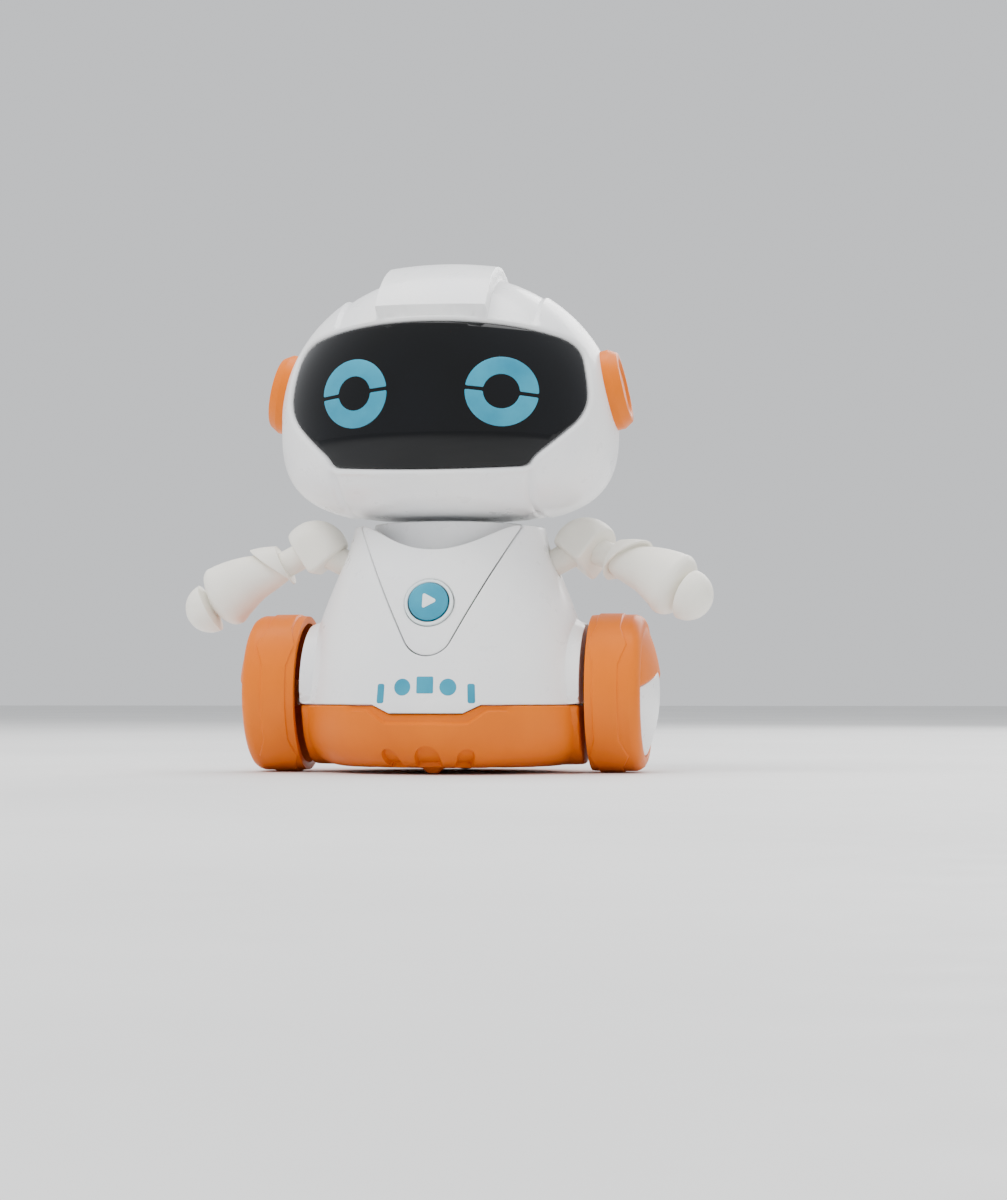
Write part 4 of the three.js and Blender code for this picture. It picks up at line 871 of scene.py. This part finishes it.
for way, label, loops, rounds in ((-1, "front", [torso_front_loop()], 0.35),
                                  (1, "rear", torso_rear_loops(), [0.35] + [0.2] * 6)):
    shell = plate(loops, torso_surface(way), WALL, spacing=0.8, rounds=rounds, lines=boss_lines(),
                  out=from_middle)
    add_piece(f"{label}_torso_shell", *shell, "torso", "white_shell", [f"torso_{label}_shell"])

CHEST_OUT = np.array([0, -math.cos(CHEST_TILT), math.sin(CHEST_TILT)])
CHEST_UP = np.array([0, math.sin(CHEST_TILT), math.cos(CHEST_TILT)])
CHEST_POINT = np.array([0, -float(bell_radius(BUTTON_Z)), BUTTON_Z])


def bib_loops():
    """The bib's outline and the hole for the button."""
    cut = on_bell(*bib_side(-GAP / 2, BIB_TOP).T)[::-1]
    top_u = np.arange(cut[-1, 0], cut[0, 0], -0.6)[1:-1]
    top = columns(top_u, neckline(top_u))
    x, up = circle((0, 0), BUTTON_HOLE, 79).T
    hole = on_bell(x, BUTTON_Z + up * math.cos(CHEST_TILT))
    return [np.vstack([cut, top]), hole]


def bib_relief(flat, base):
    """A faint upright fold from the button down to the bib's tip."""
    x, _, z = base.T
    fold = FOLD_RISE * np.exp(-(x / FOLD_WIDTH) ** 2)
    return fold * ease(*FOLD_LOW, z) * (1 - ease(*FOLD_TOP, z))


bib = plate(bib_loops(), torso_surface(-1), WALL, spacing=0.75, rounds=[0.35, 0.3], relief=bib_relief,
            out=from_middle)
add_piece("bib_panel", *bib, "torso", "white_shell", ["chest_bib_panel"])

ring = lathe(rounded([(5, -3.6, 0), (6.8, -3.6, 0.1), (6.8, -3.1, 0), (5.8, -3.1, 0), (5.8, 0.35, 0.25),
                      (5, 0.35, 0.25)]), 96, CHEST_OUT, CHEST_POINT)
add_piece("button_ring", *ring, "torso", "clear_ring", ["button_light_ring"])
knob = lathe(rounded([(0, -2, 0), (1.4, -2, 0.2), (1.4, -0.7, 0), (4.7, -0.7, 0.15), (4.7, 1.0, 0.45),
                      (0, 1.22, 0)], 7), 96, CHEST_OUT, CHEST_POINT)
add_piece("round_button", *knob, "button", "teal_button", ["chest_button"])


def button_mark():
    """A plain start mark: a rounded triangle pointing to the robot's left."""
    corners = [(-1.35, -2.1, 0.4), (2.3, 0, 0.5), (-1.35, 2.1, 0.4)]
    loop = keep_corners(rounded(corners), 0.25)

    def place(flat):
        lift = 1.27 - 0.22 * (flat[:, 0] ** 2 + flat[:, 1] ** 2) / 4.25 ** 2
        return (CHEST_POINT + flat[:, :1] * np.array([1, 0, 0]) + flat[:, 1:] * CHEST_UP
                + lift[:, None] * CHEST_OUT)
    return plate([loop], place, PRINT_THICK, spacing=0.4, rounds=0.06, out=lambda p: p * 0 + CHEST_OUT)


add_piece("button_mark", *button_mark(), "button", "clear_ring")


def front_marks():
    """A row of plain bars, dots and a square printed round the front, above the seam."""
    kinds = ["bar", "dot", "square", "dot", "bar"]
    span, top, drop, print_radius = math.radians(17.5), 21.2, 2.0, 35.5

    def place(flat):
        points = torso_surface(-1)(flat)
        return points + unit(points * [1, 1, 0]) * PRINT_LIFT
    marks = []
    for i, kind in enumerate(kinds):
        turn = span * (2 * i / (len(kinds) - 1) - 1)
        z = top - drop * (turn / span) ** 2
        if kind == "dot":
            loop = circle((0, 0), 2.0, 32)
        else:
            loop = rectangle(0.9, 2.3, 0.5) if kind == "bar" else rectangle(2.0, 2.0, 0.35)
        loop = keep_corners(loop, 0.4) * [TORSO_CHART / print_radius, 1] + [TORSO_CHART * turn, z]
        marks.append(plate([loop], place, PRINT_THICK, spacing=0.5, rounds=0.05, out=from_middle))
    return together(*marks)


add_piece("front_marks", *front_marks(), "torso", "teal_button")

# ------------------------------------------------------------------ base
BOWL_MIDDLE = np.array([0, 0, SEAM])
FLOOR_STEPS = 60                 # points across the flat middle of the underside
DOOR = (23, 16, 6)               # half width, half length and corner radius
DOOR_SCREW_Y, DOOR_SCREW_HOLE = -13.2, 2.3
RIB_PITCH, RIB_DEPTH, RIB_HALF, RIB_ENDS = 2.4, 0.35, 9.6, (8, 13.2)
SCREW_X, SCREW_Y, SCREW_HOLE = 14.6, 20.6, 2.4
SENSOR_X, SENSOR_Y, SENSOR_HOLE = 6, -21, 1.9
CASTER_Y, CASTER_RADIUS, CASTER_HOLE = 23.1, 4.2, 4.45
FOOT_Y, FOOT_HIGH = -24, 1.25
BOSS_RADIUS = 17.6
CREASE_TOP, CREASE_DROP, CREASE_OUT, CREASE_IN = 14.9, 3.1, 14.5, 10.0
POCKET_DEPTH, BAND_DEPTH = 1.1, 0.8


def bowl_profile():
    """The bowl's outline from the middle of its underside up to the seam."""
    angle = np.linspace(math.pi / 2, 0, 160)
    radius = BOWL_CORE + (BOWL_RADIUS - BOWL_CORE) * np.maximum(np.cos(angle), 0) ** (2 / BOWL_POWER)
    height = SEAM - (SEAM - BOWL_BOTTOM) * np.sin(angle) ** (2 / BOWL_POWER)
    radius = np.concatenate([np.linspace(0, BOWL_CORE, FLOOR_STEPS)[:-1], radius])
    height = np.concatenate([np.full(FLOOR_STEPS - 1, BOWL_BOTTOM), height])
    along = np.concatenate([[0], np.cumsum(np.hypot(np.diff(radius), np.diff(height)))])
    return radius, height, along


PROFILE_R, PROFILE_Z, PROFILE_AT = bowl_profile()


def at_height(z, values):
    """Radius, or distance along the outline, at a height of the bowl's side."""
    return np.interp(z, PROFILE_Z[FLOOR_STEPS - 1:], values[FLOOR_STEPS - 1:])


def bowl_flat(points):
    """The chart place of points of the bowl, from their azimuth and height, or distance."""
    radius = np.hypot(points[:, 0], points[:, 1])
    turn = np.arctan2(points[:, 1], points[:, 0])
    along = np.where(points[:, 2] <= BOWL_BOTTOM + 1e-6, np.interp(radius, PROFILE_R, PROFILE_AT),
                     at_height(points[:, 2], PROFILE_AT))
    return columns(along * np.cos(turn), along * np.sin(turn))


def bowl_surface(flat):
    """The bowl, cut flat at the sides and with the torso's bosses carried on down."""
    along = np.hypot(flat[:, 0], flat[:, 1])
    safe = np.maximum(along, 1e-9)
    radius = np.interp(along, PROFILE_AT, PROFILE_R)
    z = np.interp(along, PROFILE_AT, PROFILE_Z)
    over = np.maximum(along - PROFILE_AT[-1], 0)
    point = columns(radius * flat[:, 0] / safe, radius * flat[:, 1] / safe, z + over)
    ray = point - BOWL_MIDDLE
    reach = np.linalg.norm(ray, axis=1)
    n = ray / np.maximum(reach, 1e-9)[:, None]
    wide = np.maximum(np.abs(n[:, 0]), 1e-3)
    reach = soft_min(reach, FLAT / wide, 0.5)
    a = n[:, 1] ** 2 + n[:, 2] ** 2
    b = 2 * n[:, 2] * (SEAM - AXLE_Z)
    c = (SEAM - AXLE_Z) ** 2 - BOSS_RADIUS ** 2
    round_reach = (-b + np.sqrt(b * b - 4 * a * c)) / np.maximum(2 * a, 1e-4)
    boss = soft_min(FLAT / wide, np.minimum(round_reach, 80), 1.2)
    reach = np.where(np.abs(point[:, 0]) > 18, soft_max(reach, boss, 0.25), reach)
    return BOWL_MIDDLE + n * reach[:, None]


def seam_loop():
    """The base's upper edge once round, with its notch in front."""
    turn = once_round(379)
    extra = [math.atan2(-math.sqrt(BOWL_RADIUS ** 2 - x * x), x)
             for x in (-NOTCH_TOP, -NOTCH_LOW, NOTCH_LOW, NOTCH_TOP)]
    turn = np.unique(np.concatenate([turn, np.mod(extra, 2 * math.pi)]))
    x, y = BOWL_RADIUS * np.cos(turn), BOWL_RADIUS * np.sin(turn)
    z = np.where(y < 0, seam_height(x), SEAM) - GAP / 2
    along = at_height(z, PROFILE_AT)
    return columns(along * np.cos(turn), along * np.sin(turn))


def ground_circle(x, y, radius, steps):
    """A round hole in the flat underside."""
    return bowl_flat(columns(*circle((x, y), radius, steps).T, BOWL_BOTTOM))


def pocket_loop(angle, width, top, low, grow=0.0):
    """An arched pocket's outline on the bowl, `angle` degrees round from the front."""
    width, low = width + grow, low - grow
    outline = np.vstack([arc((0, top - width + grow), width, 0, math.pi, 30), [[-width, low], [width, low]]])
    outline = keep_corners(outline, 0.35)
    z = np.maximum(outline[:, 1], BOWL_BOTTOM + 0.12)
    radius = at_height(z, PROFILE_R)
    turn = -math.pi / 2 + math.radians(angle) + np.arcsin(outline[:, 0] / radius)
    return bowl_flat(columns(radius * np.cos(turn), radius * np.sin(turn), z))


# each pocket's angle, half width, top and foot
POCKETS = [(-16.3, 2.15, 6.2, 1.7), (0, 3.1, 6.9, 1.8), (16.3, 2.15, 6.2, 1.7)]
POCKET_LOOPS = [pocket_loop(*row) for row in POCKETS]
POCKET_FLOORS = [pocket_loop(*row, grow=-0.4) for row in POCKETS]


def crease_height(x):
    """Height of the fold that runs below the seam and its notch."""
    return CREASE_TOP - CREASE_DROP * np.clip((CREASE_OUT - np.abs(x)) / (CREASE_OUT - CREASE_IN), 0, 1)


def base_relief(flat, base):
    """What is raised or sunk on the bowl: pockets, the band under the seam and the foot."""
    x, y, z = base.T
    raised = np.zeros(len(base))
    for loop in POCKET_LOOPS:
        depth = ease(0, 0.45, line_distance(flat, loop)) * inside(flat, [loop])
        raised = raised - POCKET_DEPTH * depth
    # the band between the seam's notch and the fold below it is set back
    band = ease(0, 0.7, z - crease_height(x)) * (y < 0) * (1 - ease(18, 21, np.abs(x)))
    foot = (1 - ease(1.2, 2.6, np.hypot(x, y - FOOT_Y))) * (z < 6)
    return raised - BAND_DEPTH * band + FOOT_HIGH * foot


def crease_lines():
    """Lines along the fold below the seam."""
    lines = []
    for drop in (0.0, 0.7):
        x = np.linspace(-20, 20, 90)
        z = crease_height(x) + drop
        y = -np.sqrt(at_height(z, PROFILE_R) ** 2 - x ** 2)
        lines.append(bowl_flat(columns(x, y, z)))
    return lines


door_hole = keep_corners(rectangle(DOOR[0] + GAP, DOOR[1] + GAP, DOOR[2] + GAP, 10), 0.8)
base_loops = [seam_loop(), bowl_flat(columns(*door_hole.T, BOWL_BOTTOM))]
base_loops += [ground_circle(SCREW_X * i, SCREW_Y * j, SCREW_HOLE, 28) for j in (1, -1) for i in (1, -1)]
base_loops += [ground_circle(side * SENSOR_X, SENSOR_Y, SENSOR_HOLE, 20) for side in (-1, 1)]
base_loops += [ground_circle(0, CASTER_Y, CASTER_HOLE, 56)]
closed_lines = [np.vstack([loop, loop[:1]]) for loop in POCKET_LOOPS + POCKET_FLOORS]
bowl = plate(base_loops, bowl_surface, 1.9, spacing=0.8, rounds=[0.35, 0.3] + [0.25] * 7,
             lines=crease_lines() + closed_lines, relief=base_relief, out=lambda p: p - BOWL_MIDDLE)
add_piece("base_bowl", *bowl, "torso", "orange_plastic", ["base_shell"])


def door_relief(flat, base):
    """Finger ribs at the end of the door."""
    x, y = flat.T
    rib = np.cos(x * 2 * math.pi / RIB_PITCH) * 0.5 + 0.5
    zone = ease(0, 0.8, y - RIB_ENDS[0]) * (1 - ease(0, 0.8, y - RIB_ENDS[1])) * (np.abs(x) < RIB_HALF)
    return -RIB_DEPTH * rib * zone


door_loops = [keep_corners(rectangle(*DOOR, 10), 0.8), circle((0, DOOR_SCREW_Y), DOOR_SCREW_HOLE, 32)]
door = plate(door_loops, lambda flat: columns(*flat.T, BOWL_BOTTOM), 1.5, spacing=0.7, rounds=[0.35, 0.2],
             relief=door_relief, out=lambda p: p * 0 + [0, 0, -1])
add_piece("door_panel", *door, "torso", "orange_plastic", ["battery_door"])

# the ball's poles lie on the axis that it rolls about
ball = lathe([(CASTER_RADIUS * math.sin(a), -CASTER_RADIUS * math.cos(a))
              for a in np.linspace(0, math.pi, 33)], 64, (1, 0, 0), (0, CASTER_Y, CASTER_RADIUS))
add_piece("caster_sphere", *ball, "caster", "steel", ["caster_ball"])


# ------------------------------------------------------------------ wheels
STRIP_HIGH, STRIP_INNER, STRIP_OUTER = 0.32, (37.4, -1.9), (43.3, 2.47)
CHEVRON_RISE, CHEVRON_SLOPE = 5.3, 7.7 / 30
DOME_FOOT = 48.3


def strip_edges(turn):
    """Where the raised tread strip's two edges lie: it narrows to a waist four times round."""
    quarter = math.pi / 2
    at = np.abs((turn + quarter / 2) % quarter - quarter / 2)
    out = np.clip((at - math.radians(28)) / math.radians(22), 0, 1)
    return [edge + widening * out for edge, widening in (STRIP_INNER, STRIP_OUTER)]


def tread_wheel():
    """The wheel's rim and hub, with the raised strip round its tread."""
    segments = 480
    core = rounded([(17.2, 35.4, 0), (17.2, 45.2, 0), (3.2, 45.2, 0), (3.2, 38, 0.3), (1.2, 38, 0),
                    (1.2, 46.9, 0), (15.8, 46.9, 0.2), (15.8, 48.6, 0.25), (17.1, 48.5, 0)], 4)
    turns = once_round(segments)
    inner, outer = strip_edges(turns + math.radians(8))

    def row(radius, x):
        return columns(x, -radius * np.cos(turns), AXLE_Z + radius * np.sin(turns))
    # the wheel stands on the floor, so its radius is the height of its axle
    top, low = AXLE_Z, AXLE_Z - STRIP_HIGH
    shoulder = [(18.2, 47.9), (18.75, 47.1), (low - 0.02, 46.2), (low, 45.85)]
    rows = [row(radius, x) for radius, x in [*core, *shoulder]]
    rows += [row(low, outer + 0.18), row(top, outer - 0.12)]
    rows += [row(top, outer + (inner - outer) * t) for t in (0.25, 0.5, 0.75)]
    rows += [row(top, inner + 0.12), row(low, np.maximum(inner - 0.18, 35.55))]
    rows += [row(18.95, 35.45), row(18.7, 35.4)]
    return outward(np.vstack(rows), grid_faces(len(rows), segments, len(rows)))


def dome_height(apex, radius_out):
    """A shallow spherical cap over the wheel's face."""
    rise = apex - DOME_FOOT
    ball_radius = (radius_out ** 2 + rise ** 2) / (2 * rise)

    def place(flat):
        distance = np.minimum(np.hypot(flat[:, 0], flat[:, 1] - AXLE_Z), ball_radius)
        x = apex - ball_radius + np.sqrt(ball_radius ** 2 - distance ** 2)
        return columns(x, *flat.T)
    return place


def chevron_loop(radius, gap, above):
    """The part of a disc above or below the chevron's two slopes, in Y and Z."""
    peak = AXLE_Z + CHEVRON_RISE + gap
    turn = once_round(720)
    ring = circle((0, AXLE_Z), radius, len(turn))
    over = ring[:, 1] > peak - CHEVRON_SLOPE * np.abs(ring[:, 0])
    chosen = ring[over] if above else ring[~over]
    if above:
        return resample(np.vstack([chosen, [[0, peak]]]), 0.5)
    start = np.argmax(turn[~over] > math.pi / 2)
    chosen = np.vstack([chosen[start:], chosen[:start]])
    return keep_corners(np.vstack([chosen, [[0, peak]]]), 0.5)


wheel_rim = tread_wheel()


def wheel_face(loop, dome, back, round_edge):
    """A part of the wheel's domed face."""
    return plate([loop], dome, lambda base: base * [0, 1, 1] + [back, 0, 0], spacing=0.8,
                 rounds=round_edge, out=lambda p: p * 0 + [1, 0, 0])


fin = wheel_face(chevron_loop(16.35, GAP / 2, True), dome_height(52.0, 16.4), 47.0, 0.4)
cap = wheel_face(chevron_loop(15.4, -GAP / 2, False), dome_height(51.6, 15.4), 47.2, 0.35)
for side, label in ((1, "left"), (-1, "right")):
    for name, shape, slot, node in (("wheel_rim", wheel_rim, "orange_plastic", ["wheel"]),
                                    ("wheel_fin", fin, "orange_plastic", []),
                                    ("hub_dome", cap, "white_shell", ["wheel_hub_cap"])):
        add_piece(f"{name}_{label}", *(shape if side > 0 else mirrored(*shape)),
                  f"drive_wheel_{label}", slot, [f"{n}_{label}" for n in node])

# ------------------------------------------------------------------ arms
ARM_OUT = np.array([math.cos(PEG_TILT), 0, -math.sin(PEG_TILT)])
ARM_UP = np.array([math.sin(PEG_TILT), 0, math.cos(PEG_TILT)])
PEG_OUT = np.array([math.cos(PEG_TILT), 0, math.sin(PEG_TILT)])
HOOD_RADIUS, HOOD_HALF_DEPTH, HOOD_TIP = 8.2, 6.6, 5.2
HOOD_OUTER, HOOD_INNER = (0.588, 3.375), (0.855, 4.015)   # a side's lean and its distance
PEG_RADIUS, HAND_RADIUS, HAND_LIFT = 3.3, 6.2, -0.6
CUFF_NEAR, CUFF_SLANT, CUFF_LOW = 6.6, 9.6 / 18.6, 9.0
# stations along the arm: reach, half height, half depth and lift
SLEEVE = [[0, 5.2, 5.0, 0], [3, 6.4, 6.1, 0.1], [8, 7.0, 6.6, 0.8], [15.8, 7.3, 6.8, 1.8]]
GAUNTLET = [[0.7, 3.7, 3.6, 0.1], [2.4, 4.3, 4.1, 0.3], [5, 4.9, 4.7, 0.5], [9, 5.9, 5.8, 0.9],
            [13.5, 7.2, 6.6, 0.6], [16.6, 7.9, 7.0, 0.2], [18.6, 7.4, 6.7, 0.5], [20, 5.6, 5.3, 0.5],
            [20.8, 3.2, 3.1, -0.3]]


def arm_point(reach, depth, up):
    """A point beside the arm's own axis, from the hub."""
    reach, depth, up = (v[..., None] for v in np.broadcast_arrays(reach, depth, up))
    return HUB + reach * ARM_OUT + up * ARM_UP + depth * np.array([0, 1, 0])


def hood():
    """A dome cut to a fan by flat front and rear faces and two slanting sides."""
    centre = HUB + [0, 0, -1.3]
    turn = once_round(112)
    sharpness = 20
    rows = []
    for polar in np.linspace(0.02, math.pi - 0.02, 72):
        n = columns(np.sin(polar) * np.cos(turn), np.sin(polar) * np.sin(turn), np.cos(polar))
        outer, inner = (n @ [way * math.cos(lean), 0, -math.sin(lean)] / far
                        for way, lean, far in ((1, *HOOD_OUTER), (-1, *HOOD_INNER)))
        walls = [1 / HOOD_RADIUS, np.abs(n[:, 1]) / HOOD_HALF_DEPTH, outer, inner, -n[:, 2] / HOOD_TIP]
        reach = sum(np.maximum(w, 0) ** sharpness for w in walls) ** (-1 / sharpness)
        rows.append(centre + n * reach[:, None])
    return skin(rows)


def peg():
    """The shoulder's peg, with its barb inside the torso."""
    shape = [(0, -13, 0), (4.2, -13, 0.3), (4.2, -11.7, 0.2), (PEG_RADIUS, -11.7, 0), (PEG_RADIUS, 0, 0),
             (0, 0, 0)]
    return lathe(rounded(shape), 48, PEG_OUT, HUB)


def between(stations, reach):
    """The half height, half depth and lift of the arm at a place between its stations."""
    at, *values = np.array(stations, float).T
    return [through(at, value, reach) for value in values]


def section(stations, reach, turn, shrink=0.0):
    """A loop round the arm at `reach`, or at one reach for each of its points."""
    height, depth, lift = between(stations, reach)
    return arm_point(ARM_REACH + reach, (depth - shrink) * np.cos(turn),
                     lift + (height - shrink) * np.sin(turn))


def gauntlet():
    """The thick lower length of the arm."""
    return skin([section(GAUNTLET, reach, once_round(96))
                 for reach in np.linspace(GAUNTLET[0][0], GAUNTLET[-1][0], 60)])


def sleeve():
    """The sleeve ends on a slant, long on top, with a rounded lip and a hollow behind it."""
    turn = once_round(128)

    def ring(reach, shrink=0.0):
        return section(SLEEVE, reach, turn, shrink)
    end = np.full(len(turn), 4.0)
    # the slant meets the sleeve where both agree, which a few rounds find
    for _ in range(12):
        height, _, lift = between(SLEEVE, end)
        up = lift + height * np.sin(turn)
        end = np.maximum(CUFF_NEAR + (up + CUFF_LOW) * CUFF_SLANT - ARM_REACH, 0.35)
    rows = [ring(0.0, s) for s in (3.0, 1.2, 0.35, 0.0)]
    rows[2] = ring(0.06, 0.12)
    rows += [ring(end * t) for t in (0.12, 0.25, 0.4, 0.55, 0.7, 0.82, 0.92)]
    rows += [ring(np.maximum(end - 0.3, end * 0.95)), ring(end, 0.1), ring(end + 0.05, 0.35),
             ring(end - 0.05, 0.75), ring(np.maximum(end - 0.7, end * 0.8), 1.15),
             ring(np.maximum(end - 1.0, end * 0.6), 3.2)]
    return skin(rows)


def hand():
    """A dome on a flat, set off from the gauntlet by a groove."""
    profile = [(0, 20.4, 0), (2.6, 20.4, 0), (2.6, 21.55, 0.2), (5.6, 21.55, 0.5)]
    near = rounded(profile)[1:]
    far = [(HAND_RADIUS * math.sin(a), 21.9 + HAND_RADIUS * math.cos(a))
           for a in np.linspace(math.pi / 2, 0, 26)]
    return lathe([(0.0, 20.4), *near, *far], 96, ARM_OUT, HUB + ARM_OUT * ARM_REACH + ARM_UP * HAND_LIFT)


def swung(points, side, swing):
    """Arm points made for the left side, put on a side and turned about that side's peg."""
    hub, axis = HUB * [side, 1, 1], PEG_OUT * [side, 1, 1]
    v = points * [side, 1, 1] - hub
    c, s = math.cos(swing), math.sin(swing)
    return hub + v * c + np.cross(axis, v) * s + np.outer(v @ axis, axis) * (1 - c)


upper = together(hood(), peg())
fore_peg = lathe([(0, 2.6), (PEG_RADIUS, 2.6), (PEG_RADIUS, 10), (0, 10)], 48, ARM_OUT, HUB)
lower = together(sleeve(), gauntlet(), hand(), fore_peg)
for side, label, swing in ((1, "left", LEFT_SWING), (-1, "right", 0.0)):
    for shape, name, body, node in ((upper, "arm_hood", "upper_arm", "shoulder"),
                                    (lower, "arm_sleeve", "lower_arm", "forearm")):
        points, faces = shape
        faces = faces if side > 0 else [f[::-1] for f in faces]
        add_piece(f"{name}_{label}", swung(points, side, swing), faces, f"{body}_{label}",
                  "ivory_arm", [f"{node}_{label}"])

# ------------------------------------------------------------------ floor, light and camera
floor_mesh = bpy.data.meshes.new("floor")
floor_mesh.from_pydata([(x, y, 0) for x, y in rectangle(4, 4, 0)], [], [(0, 1, 2, 3)])
floor_mesh.materials.append(floor_material())
new_object("floor", floor_mesh)

world = bpy.data.worlds.new("studio")
world.use_nodes = True
background = world.node_tree.nodes["Background"]
background.inputs["Color"].default_value = (0.95, 0.97, 1.0, 1)
background.inputs["Strength"].default_value = 0.85
bpy.context.scene.world = world


def lamp(name, place, target, power, size, mirrored_in_gloss=True):
    """A soft round lamp turned towards a point."""
    data = bpy.data.lights.new(name, "AREA")
    data.shape = "ELLIPSE"
    data.size, data.size_y = size
    data.energy = power
    light = new_object(name, data)
    light.visible_glossy = mirrored_in_gloss
    light.location = place
    light.rotation_euler = facing(Vector(target) - Vector(place))


lamp("key", (-0.5, -0.6, 0.95), (0, 0, 0.07), 13, (0.9, 0.7), False)
lamp("fill", (0.95, -0.35, 0.4), (0, 0, 0.06), 3, (0.6, 0.6), False)
lamp("top", (0.05, 0.15, 0.95), (0, 0, 0.08), 7, (0.9, 0.7))
lamp("back", (0.3, 0.8, 0.5), (0, 0, 0.08), 5, (0.6, 0.5))

YAW, PITCH, DISTANCE, EYE_HEIGHT = math.radians(8.629), math.radians(1.9027), 0.7, 0.019
AROUND = math.radians(9.7)
camera_data = bpy.data.cameras.new("camera")
camera_data.lens = 85.2
camera_data.sensor_width = 36
camera_data.sensor_fit = "AUTO"
camera = new_object("camera", camera_data)
camera.location = (DISTANCE * math.sin(AROUND), -DISTANCE * math.cos(AROUND), EYE_HEIGHT)
camera.rotation_euler = facing((-math.sin(YAW) * math.cos(PITCH), math.cos(YAW) * math.cos(PITCH),
                                math.sin(PITCH)))
bpy.context.scene.camera = camera

bpy.context.view_layer.update()
